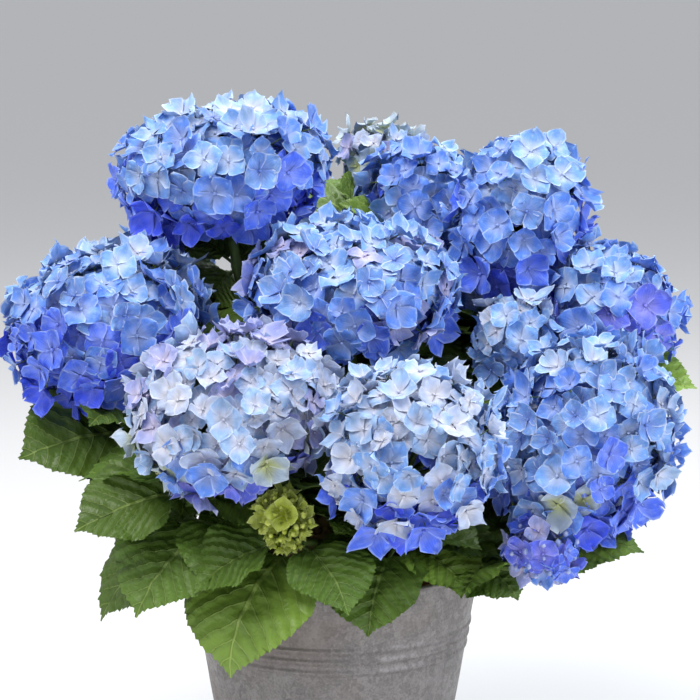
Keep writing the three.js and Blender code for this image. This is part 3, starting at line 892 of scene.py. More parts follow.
bucket = {
    "height": 222, "rimRadius": 121.5, "baseRadius": 80.5, "wall": 1.2, "bead": 2.2, "steps": 144,
    "ribs": (172, 163, 154), "ribHalfWidth": 3.8, "ribProud": 1.4, "footBevel": 2, "dent": 0.5,
    "dentScale": 0.022, "seamHeading": 97, "seamWidth": 5, "seamProud": 0.7,
    "lowRows": (10, 150, 10), "highRows": (184, 196, 208), "insideRows": (210, 8, -20), "ribRows": 4,
    "beadTurns": (-80, 200, 20), "dented": (4, 216),
}


def bucketRadius(height):
    top = bucket["rimRadius"] - bucket["bead"]
    return bucket["baseRadius"] + (top - bucket["baseRadius"]) * height / bucket["height"]


def makeBucket():
    wall, bead, bevel, base = bucket["wall"], bucket["bead"], bucket["footBevel"], bucket["baseRadius"]
    outside = [(0, 0), (base - bevel, 0), (base - bevel * 0.3, bevel * 0.3)]
    outside.append((bucketRadius(bevel), bevel))
    heights, rows = list(range(*bucket["lowRows"])), bucket["ribRows"]
    for rib in sorted(bucket["ribs"]):
        heights += [rib + bucket["ribHalfWidth"] * k / rows for k in range(-rows, rows + 1)]
    heights += [*bucket["highRows"], bucket["height"] - 2 * bead]
    for height in heights:
        nearest = min(abs(height - rib) for rib in bucket["ribs"]) / bucket["ribHalfWidth"]
        swell = bucket["ribProud"] * (0.5 + 0.5 * math.cos(math.pi * min(nearest, 1)))
        outside.append((bucketRadius(height) + swell, height))
    rim = []
    for turn in range(*bucket["beadTurns"]):
        angle = math.radians(turn)
        rim.append((bucket["rimRadius"] - bead + bead * math.cos(angle),
                    bucket["height"] - bead + bead * math.sin(angle)))
    inside = [(bucketRadius(height) - wall, height) for height in range(*bucket["insideRows"])]
    inside += [(base - wall - bevel, wall), (0, wall)]
    bm = spinProfile(outside + rim + inside, bucket["steps"])
    low, high = bucket["dented"]
    for vert in bm.verts:  # a lock seam up the back, and the slight dents of thin sheet
        reach = math.hypot(vert.co.x, vert.co.y)
        if reach < base * 0.8 or not low < vert.co.z < high:
            continue
        heading = math.atan2(vert.co.y, vert.co.x)
        away = abs(heading - math.radians(bucket["seamHeading"])) * reach / bucket["seamWidth"]
        push = bucket["dent"] * noise.noise(vert.co * bucket["dentScale"])
        if reach > bucketRadius(vert.co.z) - wall / 2:
            push += bucket["seamProud"] * max(0.0, 1 - away)
        vert.co.xy *= (reach + push) / reach
    return bm


finishPiece("zincBucket", makeBucket(), [zincFinish], ["bucket"], 40)

# nursery pot and compost

nursery = {
    "top": 233, "rimRadius": 108, "baseRadius": 71, "wall": 1.6, "lip": 9, "lipProud": 1.8, "floor": 1.5,
    "steps": 128,
}
compost = {
    "top": 222, "clearance": 1.4, "bottom": 3.4, "edgeDrop": 4, "rings": 14, "lump": 3.2,
    "lumpScale": 0.09, "lumpDepth": 3.5, "steps": 72, "chips": 170, "chipArea": (0.14, 0.92),
    "chipSink": 1.5, "chipSize": ((3, 9), (2, 4), (0.8, 2)), "chipTilt": 0.4,
}


def nurseryRadius(height):
    top = nursery["rimRadius"] - nursery["lipProud"]
    return nursery["baseRadius"] + (top - nursery["baseRadius"]) * height / nursery["top"]


def makeNurseryPot():
    top, rim, wall, lip = nursery["top"], nursery["rimRadius"], nursery["wall"], nursery["lip"]
    floor, proud, under = nursery["floor"], nursery["lipProud"], top - lip
    profile = [
        (0, floor), (nurseryRadius(floor) - 1, floor), (nurseryRadius(floor + 1), floor + 1),
        (nurseryRadius(under), under), (rim - 0.9, under), (rim - 0.2, under + 0.6), (rim, under + 1.6),
        (rim, top - 1.4), (rim - 0.4, top - 0.4), (rim - 1.1, top), (rim - proud - wall + 0.6, top),
        (rim - proud - wall, top - 0.6), (nurseryRadius(under) - wall, under),
        (nurseryRadius(floor + wall) - wall, floor + wall), (0, floor + wall),
    ]
    return spinProfile(profile, nursery["steps"])


def makeCompost():
    inset = nursery["wall"] + compost["clearance"]
    top, bottom, rings = compost["top"], compost["bottom"], compost["rings"]
    edge = nurseryRadius(top) - inset
    profile = [(0, bottom), (nurseryRadius(bottom) - inset, bottom), (edge, top - compost["edgeDrop"])]
    profile += [(edge * k / rings, top - 1 - 2 * (k / rings) ** 6) for k in range(rings - 1, 0, -1)]
    profile.append((0, top - 1))
    bm = spinProfile(profile, compost["steps"])
    for vert in bm.verts:
        if vert.co.z > top - compost["lumpDepth"]:
            vert.co.z += compost["lump"] * noise.noise(vert.co * compost["lumpScale"]) - 1
    draw = random.Random(5)
    chip = ballMesh("chip")
    for _ in range(compost["chips"]):
        heading = draw.uniform(0, 2 * math.pi)
        reach = math.sqrt(draw.uniform(*compost["chipArea"])) * edge
        at = Vector((reach * math.cos(heading), reach * math.sin(heading), top - compost["chipSink"]))
        size = Vector([draw.uniform(*span) for span in compost["chipSize"]])
        tilt = draw.uniform(0, math.pi), draw.uniform(-1, 1) * compost["chipTilt"]
        turn = Quaternion(up, tilt[0]) @ Quaternion((1, 0, 0), tilt[1])
        stampMesh(bm, chip, Matrix.LocRotScale(at, turn, size))
    return bm


finishPiece("nurseryPot", makeNurseryPot(), [potFinish], ["nursery_pot"], 50)
finishPiece("compostFill", makeCompost(), [compostFinish], ["soil"])

# trunk and boughs with bark relief

bark = {
    "ridge": 0.9, "limbRidge": 0.35, "ridgeScale": (0.35, 0.35, 0.07), "limbSides": 10, "limbSteps": 22,
    "nodeEvery": 0.22, "nodeSwell": 0.8, "nodeNarrow": 14, "firstNode": 0.1, "baseRadius": 3.7,
    "tipRadius": 2.9, "share": 0.5, "flare": 1.6, "flareEnds": 9, "furrow": 2.4, "grain": 0.8,
    "limbScale": (1.7, 0.45), "trunkSteps": 96,
}


def barkRelief(point, depth):
    ridge = abs(noise.noise(point * Vector(bark["ridgeScale"])))
    return depth * (1 - bark["furrow"] * ridge) + depth * 0.5 * noise.noise(point * bark["grain"])


def makeTrunk():
    ground, shoulder, radius = crown["ground"], crown["shoulder"], crown["radius"]
    profile = [(0, ground)] + [(reach, ground + rise) for reach, rise in crown["flare"]]
    for turn in range(0, 90, 6):
        angle = math.radians(turn)
        profile.append((radius * math.cos(angle), shoulder + radius * math.sin(angle)))
    profile.append((0, shoulder + radius))
    bm = spinProfile(profile, bark["trunkSteps"])
    for vert in bm.verts:
        if vert.co.z > ground + 0.5:
            vert.co += (vert.co - crownMiddle).normalized() * barkRelief(vert.co, bark["ridge"])
    return bm


def makeBoughs(bm):
    steps, ends = bark["limbSteps"], (bark["baseRadius"], bark["tipRadius"])
    around, down = bark["limbScale"]
    for name, shoot in shoots.items():
        spots = []
        for point, radius in stretchOf(shootPath(shoot), 0, bark["share"], steps, *ends):
            part = len(spots) / steps
            nodes = bark["share"] * part / bark["nodeEvery"]
            radius += bark["flare"] * max(0.0, 1 - part * bark["flareEnds"])
            if part > bark["firstNode"]:
                away = abs(nodes - round(nodes)) * bark["nodeNarrow"]
                radius += bark["nodeSwell"] * max(0.0, 1 - away)
            spots.append((point, radius))
        addLimb(bm, rootedSpots(spots), bark["limbSides"], lambda angle, step:
                bark["limbRidge"] * noise.noise(Vector((angle * around, step * down, len(name)))))


trunkMesh = makeTrunk()
makeBoughs(trunkMesh)
barkNodes = ["trunk"] + [f"bough_{name}" for name in shoots]
finishPiece("barkCanes", trunkMesh, [barkFinish], barkNodes)

# heads: where the florets stand

floret = {
    "spacing": 17.8, "packing": 0.87, "rings": 240, "turnSpread": 0.1, "overlap": 1.3,
    "depths": (6, 10, 14, 18), "sink": 12, "wander": 1.4, "lowest": -0.86, "lowFall": 0.5,
    "turnAway": 30, "skinDepth": 8, "innerDepth": 30, "innerShare": 0.25, "hidden": 0.88,
    "size": (0.56, 0.9), "lowSize": 0.2, "lowFrom": 0.4, "smallRadius": 50, "smallScale": 0.8,
    "cup": (-2, 8), "deepCup": 0.5, "tilt": (0, 7), "fallMiddle": 0.52, "fallSpan": 0.48,
}
# how the rim of a floret follows its neighbours, and how the tints drift
rimRule = {
    "directions": 12, "shares": (0.65, 1.0), "reach": 2.1, "sameWay": 0.35, "farthest": 14,
    "nearShare": 0.85, "farShare": 0.5, "clear": 0.7, "drop": -9.0, "climb": 10.0,
}
# florets of the inner layer are dealt deeper tints: painted shade inside the head
tintDrift = {"scale": 0.017, "show": 0.28, "stray": 0.09, "innerShade": 0.3}


# the sines of the latitudes that part a head's skin into rings of equal area
def evenClimbs(radius, half, spacing):
    steps = floret["rings"]
    climbs = [1 - (1 - floret["lowest"]) * step / steps for step in range(steps + 1)]
    areas = [0.0]
    for before, after in zip(climbs, climbs[1:]):
        middle = (before + after) / 2
        stretch = math.sqrt((radius * middle) ** 2 + half ** 2 * (1 - middle ** 2))
        areas.append(areas[-1] + 2 * math.pi * radius * stretch * (before - after))
    count = round(areas[-1] / (spacing ** 2 * floret["packing"]))
    return [climbs[bisect_right(areas, areas[-1] * (index + 0.5) / count)] for index in range(count)]


heads = []
for shootName, shoot in shoots.items():
    heads.append({
        "gaps": [], "skirt": 0, "scale": 1.0, **shoot, "name": shootName, "middle": Vector(shoot["at"]),
        "axis": headAxis(shoot), "foot": headFoot(shoot), "tints": shoot["tints"].split(),
        "upright": up.rotation_difference(headAxis(shoot)),
    })


# 0 in the middle of a head, 1 on its outside
def depthIn(head, point):
    local = head["upright"].inverted() @ (point - head["middle"])
    return math.hypot(local.x / head["radius"], local.y / head["radius"], local.z / head["half"])


def inGap(head, point):
    return any((point - Vector(at)).length < reach for at, reach in head["gaps"])


def isHidden(owner, point):
    others = [head for head in heads if head is not owner and not inGap(head, point)]
    return any(depthIn(head, point) < floret["hidden"] for head in others)


def spreadFlorets(head, climbs, depth, draw):
    radius, half = head["radius"], head["half"]
    spots = []
    for index, climb in enumerate(climbs):
        flat = math.sqrt(max(0.0, 1 - climb * climb))
        turn = index * goldenAngle + draw.uniform(-floret["turnSpread"], floret["turnSpread"])
        x, y = flat * math.cos(turn), flat * math.sin(turn)
        outward = Vector((x / radius, y / radius, climb / half)).normalized()
        fall = floret["lowFall"] if climb < 0 else 1.0  # low florets hang with their faces outwards
        facing = Vector((x / radius, y / radius, fall * climb / half)).normalized()
        lean = math.radians(floret["turnAway"]) * draw.uniform(-1, 1)
        facing = Quaternion((draw.uniform(-1, 1), draw.uniform(-1, 1), 0.01), lean) @ facing
        skin = head["middle"] + head["upright"] @ domePoint(radius, half, climb, turn)
        skin.z -= head["skirt"] * max(0.0, -climb)
        spots.append({
            "head": head, "skin": skin, "outward": head["upright"] @ outward, "depth": depth,
            "facing": head["upright"] @ facing, "sink": floret["sink"] * math.sin(abs(lean)),
        })
    return spots


# neighbours take turns in standing further out, so that each lies over or under the next
def dealDepths(spots, reach, draw):
    tree = KDTree(len(spots))
    for number, spot in enumerate(spots):
        tree.insert(spot["skin"], number)
    tree.balance()
    order = list(range(len(spots)))
    draw.shuffle(order)
    for number in order:
        found = tree.find_range(spots[number]["skin"], reach)
        near = [spots[index].get("level") for _, index, _ in found]
        levels = list(range(len(floret["depths"])))
        draw.shuffle(levels)
        spots[number]["level"] = min(levels, key=near.count)
    for spot in spots:
        wander = draw.uniform(-1, 1) * floret["wander"]
        spot["depth"] = floret["depths"][spot["level"]] + spot["sink"] + wander


allFlorets = []
for number, head in enumerate(heads):
    draw = random.Random(100 + number)
    if head["radius"] < floret["smallRadius"]:
        head["scale"] = floret["smallScale"]
    spacing = floret["spacing"] * head["scale"]
    domeSize = (head["radius"] - floret["skinDepth"], head["half"] - floret["skinDepth"])
    outer = spreadFlorets(head, evenClimbs(*domeSize, spacing), 0, draw)
    dealDepths(outer, spacing * floret["overlap"], draw)
    innerSpacing = spacing / math.sqrt(floret["innerShare"])
    inner = spreadFlorets(head, evenClimbs(*domeSize, innerSpacing), floret["innerDepth"], draw)
    head["places"] = []
    for spot in outer + inner:
        spot["at"] = spot["skin"] - spot["outward"] * spot["depth"] * head["scale"]
        if inGap(head, spot["skin"]) or isHidden(head, spot["at"]):
            continue
        # how far down the head a floret stands: low florets grow bigger, and take deeper tints that are
        # partly painted shade
        rise = spot["skin"].z - head["middle"].z
        spot["fall"] = floret["fallMiddle"] - floret["fallSpan"] * rise / head["half"]
        lowGrowth = 1 + floret["lowSize"] * (spot["fall"] - floret["lowFrom"])
        spot["size"] = head["scale"] * draw.uniform(*floret["size"]) * lowGrowth
        spot["cup"] = draw.uniform(*floret["cup"]) + draw.uniform(0, spot["depth"] * floret["deepCup"])
        spot["tilt"] = draw.uniform(*floret["tilt"])
        spot["tiltToward"] = draw.uniform(0, 2 * math.pi)
        turn = up.rotation_difference(spot["facing"]) @ Quaternion(up, draw.uniform(0, 2 * math.pi))
        spot["across"], spot["along"] = turn @ Vector((1, 0, 0)), turn @ Vector((0, 1, 0))
        head["places"].append(spot)
    allFlorets += head["places"]
print("florets placed:", len(allFlorets))

# heads: sepals, florets and blossom pieces

sepal = {
    "length": 18.8, "breadth": 24.5, "claw": 1.6, "tip": 0.7, "columns": 4, "rows": 5, "bead": 1.9,
    "beadLift": 1.2, "beadSpot": (0.25, 0.05), "stack": 0.7, "start": 0.8, "turn": (-8, 8),
    "lengths": (0.92, 1.07), "breadths": (0.9, 1.1), "curl": (-6, 4.2), "fold": (-3, 4.2),
    "ripple": (1.2, 3.6), "phase": (0, 6), "roll": (-8, 3.4), "point": (-0.04, 0.14),
    "round": (0.62, 0.95), "widest": 1.1, "pointPower": 10, "rollFrom": 0.6, "rollSteep": 5, "waves": 6,
}
sepalDraws = ("turn", "lengths", "breadths", "curl", "fold", "ripple", "phase", "roll", "point", "round")

floretTree = KDTree(len(allFlorets))
for number, spot in enumerate(allFlorets):
    floretTree.insert(spot["at"], number)
floretTree.balance()


# how far a floret's rim rises in each direction, over the deeper florets and under the outer ones
def rimRises(spot):
    length = sepal["length"] * spot["size"]
    found = floretTree.find_range(spot["at"], length * rimRule["reach"])
    near = [allFlorets[index] for _, index, _ in found if allFlorets[index] is not spot]
    near = [other for other in near if spot["facing"].dot(other["facing"]) > rimRule["sameWay"]]
    rises = []
    for step in range(rimRule["directions"]):
        angle = 2 * math.pi * step / rimRule["directions"]
        way = spot["across"] * math.cos(angle) + spot["along"] * math.sin(angle)
        wanted = spot["cup"] + spot["tilt"] * math.cos(angle - spot["tiltToward"])
        low, high = rimRule["drop"], rimRule["climb"]
        for share in rimRule["shares"]:
            foot = spot["at"] + way * length * share
            for other in near:
                rise = (other["at"] - foot).dot(other["facing"]) / spot["facing"].dot(other["facing"])
                lands = (foot + spot["facing"] * rise - other["at"]).length
                if abs(rise) > rimRule["farthest"] or lands > sepal["length"] * other["size"]:
                    continue
                middle = rise * rimRule["farShare" if lands > length * 0.5 else "nearShare"]
                if other["depth"] < spot["depth"]:
                    high = min(high, (middle - rimRule["clear"]) / share ** 2)
                else:
                    low = max(low, (middle + rimRule["clear"]) / share ** 2)
        rises.append((low + high) / 2 if low > high else min(max(wanted, low), high))
    return [0.5 * rise + 0.25 * (rises[step - 1] + rises[(step + 1) % len(rises)])
            for step, rise in enumerate(rises)]


def floretTemplate():
    bm = newJoin()
    for number in range(5):  # four sepals and the bead
        part = newJoin()
        if number < 4:
            bmesh.ops.create_grid(part, x_segments=sepal["columns"], y_segments=sepal["rows"], size=1,
                                  calc_uvs=True)
        else:
            bmesh.ops.create_icosphere(part, subdivisions=1, radius=1, calc_uvs=True)
        uvLayer = part.loops.layers.uv[bakeMap]
        for face in part.faces:
            for loop in face.loops:
                place = loop[uvLayer].uv
                loop[uvLayer].uv = inQuarter(*place, number) if number < 4 else sepal["beadSpot"]
        joinMesh(bm, toMesh(part, "floretPart"))
    return toMesh(bm, "floretTemplate")


floretGrid = floretTemplate()
floretParams = [tuple(vert.co) for vert in floretGrid.vertices]
sepalVerts = (sepal["columns"] + 1) * (sepal["rows"] + 1)


def sepalOutline(along, roundness):
    return math.sin(math.pi * along ** sepal["widest"]) ** roundness if 0 < along < 1 else 0.0


def addFloret(bm, spot, draw, materialIndex, rises):
    directions = rimRule["directions"]
    size = spot["size"]
    length = sepal["length"] * size
    places = []
    for number in range(4):
        drawn = [draw.uniform(*sepal[name]) for name in sepalDraws]
        turn, reach, breadth, curl, fold, ripple, phase, roll, point, roundness = drawn
        turn = math.radians(90 * number + turn)
        reach *= length
        breadth *= sepal["breadth"] / 2 * size
        stack = sepal["stack"] * (number % 2)
        ahead = Vector((math.cos(turn), math.sin(turn)))
        for across, down, _ in floretParams[number * sepalVerts:(number + 1) * sepalVerts]:
            along = math.sin((down + 1) * math.pi / 4)  # the rows lie closer together towards the tip
            least = sepal["claw"] * (1 - along) + sepal["tip"] * along
            sideways = across * max(breadth * sepalOutline(along, roundness), least)
            outward = sepal["start"] + reach * (along + point * along ** sepal["pointPower"])
            x = ahead.x * outward - ahead.y * sideways
            y = ahead.y * outward + ahead.x * sideways
            share = math.hypot(x, y) / length
            step = (math.atan2(y, x) / (2 * math.pi) * directions) % directions
            first = int(step)
            rise = rises[first % directions] * (1 - step + first)
            rise += rises[(first + 1) % directions] * (step - first)
            z = rise * share ** 2 + stack * min(1, 2 * along)
            crumple = (curl * across * across + fold * abs(across)) * along
            crumple += ripple * across * across * math.sin(sepal["waves"] * along + phase + 2 * across)
            z += (crumple + roll * max(0.0, along - sepal["rollFrom"]) ** 2 * sepal["rollSteep"]) * size
            places.extend(spot["at"] + spot["across"] * x + spot["along"] * y + spot["facing"] * z)
    radius = sepal["bead"] * size
    for x, y, z in floretParams[4 * sepalVerts:]:
        flat = (spot["across"] * x + spot["along"] * y) * radius
        places.extend(spot["at"] + flat + spot["facing"] * (radius * z + sepal["beadLift"]))
    shapeMesh(bm, floretGrid, places, materialIndex)


# the tint follows the height in the head, deeper low down, partly as painted shade under the head,
# with drifting clumps and a few strays; the inner layer takes deeper tints as painted shade inside the
# head
def dealTint(head, spot, draw):
    fall = spot["fall"] + tintDrift["innerShade"] * (spot["depth"] == floret["innerDepth"])
    drift = tintDrift["show"] * noise.noise(spot["skin"] * tintDrift["scale"])
    fall += drift + draw.gauss(0, tintDrift["stray"])
    count = len(head["tints"])
    return head["tints"][min(max(int(fall * count), 0), count - 1)]


def addFlorets(bm, head, draw):
    for spot in head["places"]:
        tint = dealTint(head, spot, draw)
        addFloret(bm, spot, draw, petalNames.index(tint), rimRises(spot))


blossomPieces = {
    "blossomFront": ["front_left", "front_right", "right_front"],
    "blossomMiddle": ["centre", "inner_right", "top_middle", "top_back"],
    "blossomLeft": ["left", "top_left", "back_left", "low_back_left"],
    "blossomRight": ["top_right", "right", "far_right"],
    "blossomBack": ["back", "back_right", "low_back_right"],
}
for pieceName, members in blossomPieces.items():
    bm = newJoin()
    for number, head in enumerate(heads):
        if head["name"] in members:
            addFlorets(bm, head, random.Random(300 + number))
    nodes = [f"head_{name}" for name in members if shoots[name]["radius"] > floret["smallRadius"]]
    finishPiece(pieceName, bm, petals, nodes)

# leaves: where they grow

leafRule = {
    "length": 112, "widthShare": 0.66, "petiole": 0.2, "outward": 8, "lowestTip": 238,
    "lengths": (0.9, 0.3), "spread": {"heading": 24, "rise": 16, "bend": 20, "twist": 30},
    "lifts": (0, -14, 14, -28, 28), "swings": (0, 22, -22), "clear": 0.86,
    "onSolid": ((0.7, 0.0056), (1.0, 0.0035)),  # shares of the leaf, and how near it is there in metres
    "heart": (0, 20, 340), "backFrom": 70, "overPot": 150, "underReach": 170, "underStep": 14,
    "underDepth": 0.95, "looks": (0.45, 0.6, 0.8, 1.0), "edgeShare": 0.3, "boxMargin": 4,
}
leafPairs = [
    {"share": 0.44, "offsets": (86, -86), "rise": 34, "bend": 56},
    {"share": 0.68, "offsets": (8, 176), "rise": 20, "bend": 52},
    {"share": 0.9, "offsets": (78, -78), "rise": 10, "bend": 44},
]
fillPairs = [
    {"share": 0.56, "offsets": (40, -140), "rise": 30, "bend": 50},
    {"share": 0.8, "offsets": (130, -40), "rise": 16, "bend": 46},
]


# the same run of draws as the source's own, so the same leaves grow
def sourceDraw(seed):
    state = float(seed)
    while True:
        state = math.fmod(state * 1103515245.0 + 12345.0, 2147483648.0)
        yield state / 2147483648.0


# a leaf whose tip hangs at a given place: a row of the tables above
def hangingLeaf(path, kind, row):
    share, tip, bend, width, twist, *extra = row
    start = pointAlong(path, share)
    chord = Vector(tip) - start
    half = math.radians(bend) / 2
    leaf = {
        "kind": kind, "start": start, "heading": math.atan2(chord.y, chord.x), "bend": 2 * half,
        "rise": math.asin(chord.z / chord.length) + half, "width": width, "twist": math.radians(twist),
        "reach": chord.length * half / math.sin(half), "petiole": leafRule["petiole"],
    }
    return {**leaf, **(extra[0] if extra else {})}


def leafSpot(start, leaf, share):
    turn = leaf["rise"] - leaf["bend"] * share
    scale = leaf["reach"] / leaf["bend"]
    out = scale * (math.sin(leaf["rise"]) - math.sin(turn))
    climb = scale * (math.cos(turn) - math.cos(leaf["rise"]))
    ahead = Vector((math.cos(leaf["heading"]), math.sin(leaf["heading"]), 0))
    tangent = ahead * math.cos(turn) + up * math.sin(turn)
    twist = leaf["twist"] * min(1, 2 * share)
    side = Quaternion(tangent, twist) @ Vector((-ahead.y, ahead.x, 0))
    return start + ahead * out + up * climb, side, tangent.cross(side)


def pairedLeaves(path, pairs, draws):
    leaves, spread, (least, more) = [], leafRule["spread"], leafRule["lengths"]
    for pair in pairs:
        start = pointAlong(path, pair["share"])
        outward = math.atan2(start.y, start.x)
        for offset in pair["offsets"]:
            reach = leafRule["length"] * (least + more * next(draws))
            leaves.append({
                "offset": offset, "start": start, "share": pair["share"],
                "heading": outward + math.radians(offset + spread["heading"] * (next(draws) - 0.5)),
                "rise": math.radians(pair["rise"] + spread["rise"] * (next(draws) - 0.5)),
                "bend": math.radians(pair["bend"] + spread["bend"] * (next(draws) - 0.5)),
                "reach": reach * (1 + leafRule["petiole"]),
                "width": reach * leafRule["widthShare"],
                "twist": math.radians(spread["twist"] * (next(draws) - 0.5)),
                "petiole": leafRule["petiole"],
            })
    return leaves


def leafChoices(leaf):
    for swing in leafRule["swings"]:
        for lift in leafRule["lifts"]:
            yield {**leaf, "heading": leaf["heading"] + math.radians(swing),
                   "rise": leaf["rise"] + math.radians(lift)}


def solidOf(node):
    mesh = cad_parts[node].data
    points = [vert.co.copy() for vert in mesh.vertices]
    return BVHTree.FromPolygons(points, [tuple(face.vertices) for face in mesh.polygons])


def liesOnSolid(leaf, solid):
    for share, reach in leafRule["onSolid"]:
        point = leafSpot(leaf["start"], leaf, share)[0] * millimetre
        if solid.find_nearest(point)[3] > reach:
            return False
    return True


leafReach = [(low / millimetre, high / millimetre) for low, high in zip(*cadBox)]


# whether a point is inside the crown: over the pot, or with a head further out
def isUnderHeads(point):
    if math.hypot(point.x, point.y) < leafRule["overPot"]:
        return True
    away = (point - Vector(leafRule["heart"])).normalized()
    outward = [point + away * reach for reach in range(0, leafRule["underReach"], leafRule["underStep"])]
    return any(depthIn(head, place) < leafRule["underDepth"] for place in outward for head in heads)


# a leaf that the source left out still grows where it stays in the crown, out of heads and pot
def hangsFree(leaf):
    margin, half = leafRule["boxMargin"], leafRule["edgeShare"]
    for share in leafRule["looks"]:
        point, side, _ = leafSpot(leaf["start"], leaf, share)
        edges = [point, point + side * leaf["width"] * half, point - side * leaf["width"] * half]
        for spot in edges if share < 0.9 else edges[:1]:
            if spot.y < leafRule["backFrom"] and not isUnderHeads(spot):
                return False
            if any(depthIn(head, spot) < leafRule["clear"] for head in heads):
                return False
            if spot.z < leafRule["lowestTip"]:
                return False
            reach = zip(spot, leafReach)
            if not all(low + margin < value < high - margin for value, (low, high) in reach):
                return False
    return True


hung = [("seen", shootPath(shoots[name]), rows) for name, rows in seenLeaves.items()]
hung += [("fill", shootPath(shoots[name]), rows) for name, rows in gapLeaves.items()]
hung += [("rim", rimPath(shoot), shoot["leaves"]) for shoot in rimShoots.values()]
leaves = [hangingLeaf(path, kind, row) for kind, path, rows in hung for row in rows]
matched = 0
for number, (shootName, shoot) in enumerate(shoots.items()):
    path = shootPath(shoot)
    solid = solidOf(f"leaves_{shootName}")
    for leaf in pairedLeaves(path, leafPairs, sourceDraw(7 + number)):
        if leaf["offset"] == leafRule["outward"] and shootName in seenLeaves:
            continue
        if (leaf["share"], leaf["offset"]) in shoot.get("bare", []):
            continue
        grown = next((choice for choice in leafChoices(leaf) if liesOnSolid(choice, solid)), None)
        matched += grown is not None
        grown = grown or next((choice for choice in leafChoices(leaf) if hangsFree(choice)), None)
        if grown:
            leaves.append({**grown, "kind": "paired"})
    for leaf in pairedLeaves(path, fillPairs, sourceDraw(207 + number)):
        grown = next((choice for choice in leafChoices(leaf) if hangsFree(choice)), None)
        if grown:
            leaves.append({**grown, "kind": "fill"})
print("leaves placed:", len(leaves), "of which on the source's own:", matched)

# leaves: blades

blade = {
    "columns": 12, "teeth": 28, "tooth": 3.4, "toothForward": 1.2, "jag": (0.6, 1.3), "crinkle": 2.6,
    "crinkleScale": 0.075, "quilt": 3.0, "fold": (0.04, 0.26), "wave": 3.4, "waves": (1.4, 2.6),
    "curl": (-3, 2), "under": 0.8, "widest": 1.12, "mapWidth": 1.04, "quiltPower": 0.7, "quiltStart": 7,
    "phase": (0, 6.3), "sideShift": 1.7, "seeds": (0, 50),
    "outline": (
        (0, 0), (0.02, 0.26), (0.06, 0.5), (0.13, 0.76), (0.22, 0.93), (0.33, 1.0), (0.45, 0.985),
        (0.58, 0.89), (0.7, 0.71), (0.8, 0.47), (0.87, 0.24), (0.93, 0.09), (1, 0),
    ),
}


def bladeOutline(along):
    for (before, low), (after, high) in zip(blade["outline"], blade["outline"][1:]):
        if along <= after:
            return low + (high - low) * (along - before) / (after - before)
    return 0.0


def bladeTemplate():
    bm = newJoin()
    bmesh.ops.create_grid(bm, x_segments=blade["columns"], y_segments=2 * blade["teeth"], size=1,
                          calc_uvs=True)
    return toMesh(bm, "bladeTemplate")


bladeGrid = bladeTemplate()
bladeParams = [(vert.co.x, (vert.co.y + 1) / 2) for vert in bladeGrid.vertices]


def veinPhase(sideways, along):
    slant = leafLook["veinSlant"] * sideways + leafLook["veinSweep"] * sideways ** 2
    return (along - slant) * leafLook["veinPairs"]


def addBlade(bm, leaf, draw, materialIndex):
    rows = 2 * blade["teeth"]
    petiole = leaf["petiole"]
    length = leaf["reach"] * (1 - petiole)
    halfWidth = leaf["width"] / 2 * blade["widest"]
    fold = draw.uniform(*blade["fold"])
    phase, waves = draw.uniform(*blade["phase"]), draw.uniform(*blade["waves"])
    curl = draw.uniform(*blade["curl"])
    seed = draw.uniform(*blade["seeds"])
    jags = [draw.uniform(*blade["jag"]) for _ in range(rows + 1)]
    shares = [petiole + (1 - petiole) * row / rows for row in range(rows + 1)]
    spots = [leafSpot(leaf["start"], leaf, share) for share in shares]
    quarterIndex = draw.randrange(4)
    places, maps = [], []
    for across, along in bladeParams:
        row = round(along * rows)
        outline = bladeOutline(min(max(along, 0.004), 0.996))
        edge = max(0.0, abs(across) - 1 + 2 / blade["columns"]) * blade["columns"] / 2
        isTooth = row % 2 == 1
        reach = across * halfWidth * outline
        jag = edge * blade["tooth"] * jags[row] * (0.5 if isTooth else -0.5) * min(1, 3 * outline)
        reach += math.copysign(jag, across)
        sideways = abs(reach) / halfWidth
        point, side, face = spots[row]
        ahead = side.cross(face)
        beat = abs(math.sin(math.pi * veinPhase(sideways, along)))
        quilt = blade["quilt"] * beat ** blade["quiltPower"] * min(1, sideways * blade["quiltStart"])
        quilt *= 1 - 0.5 * sideways
        quilt *= min(1, 4 * outline)
        swing = 2 * math.pi * waves * along + phase + (across > 0) * blade["sideShift"]
        wave = blade["wave"] * sideways ** 2 * math.sin(swing)
        grain = Vector((reach * blade["crinkleScale"], along * length * blade["crinkleScale"], seed))
        crinkle = blade["crinkle"] * noise.noise(grain)
        lift = abs(reach) * fold + quilt + wave + crinkle + curl * sideways ** 2 - blade["under"]
        forward = edge * isTooth * blade["toothForward"] * length / rows
        places.extend(point + side * reach + face * lift + ahead * forward)
        maps.append(inQuarter(0.5 + 0.5 * reach / (halfWidth * blade["mapWidth"]), along, quarterIndex))
    copy = bladeGrid.copy()
    copy.vertices.foreach_set("co", places)
    layer = copy.uv_layers[bakeMap].data
    for loop in copy.loops:
        layer[loop.index].uv = maps[loop.vertex_index]
    joinMesh(bm, copy, materialIndex)


petioleLook = {
    "sides": 5, "stalkSteps": 4, "stalkRadius": 1.9, "stalkSink": 0.3, "taper": 0.14,
    "ribSteps": 6, "ribRadius": 1.25, "ribSink": 2.15, "ribEnd": 0.86,
}


# the leaf stalk, and the rib that it runs into under the blade
def petioleSpots(leaf):
    look, petiole, spots = petioleLook, leaf["petiole"], []
    for step in range(look["stalkSteps"] + 1):
        point, _, face = leafSpot(leaf["start"], leaf, petiole * step / look["stalkSteps"])
        sunk = point - face * look["stalkSink"] * step
        spots.append((sunk, look["stalkRadius"] - look["taper"] * step))
    for step in range(1, look["ribSteps"] + 1):
        share = petiole + (look["ribEnd"] - petiole) * step / look["ribSteps"]
        point, _, face = leafSpot(leaf["start"], leaf, share)
        thinned = look["taper"] * step
        spots.append((point - face * (look["ribSink"] - thinned), look["ribRadius"] - thinned))
    return spots


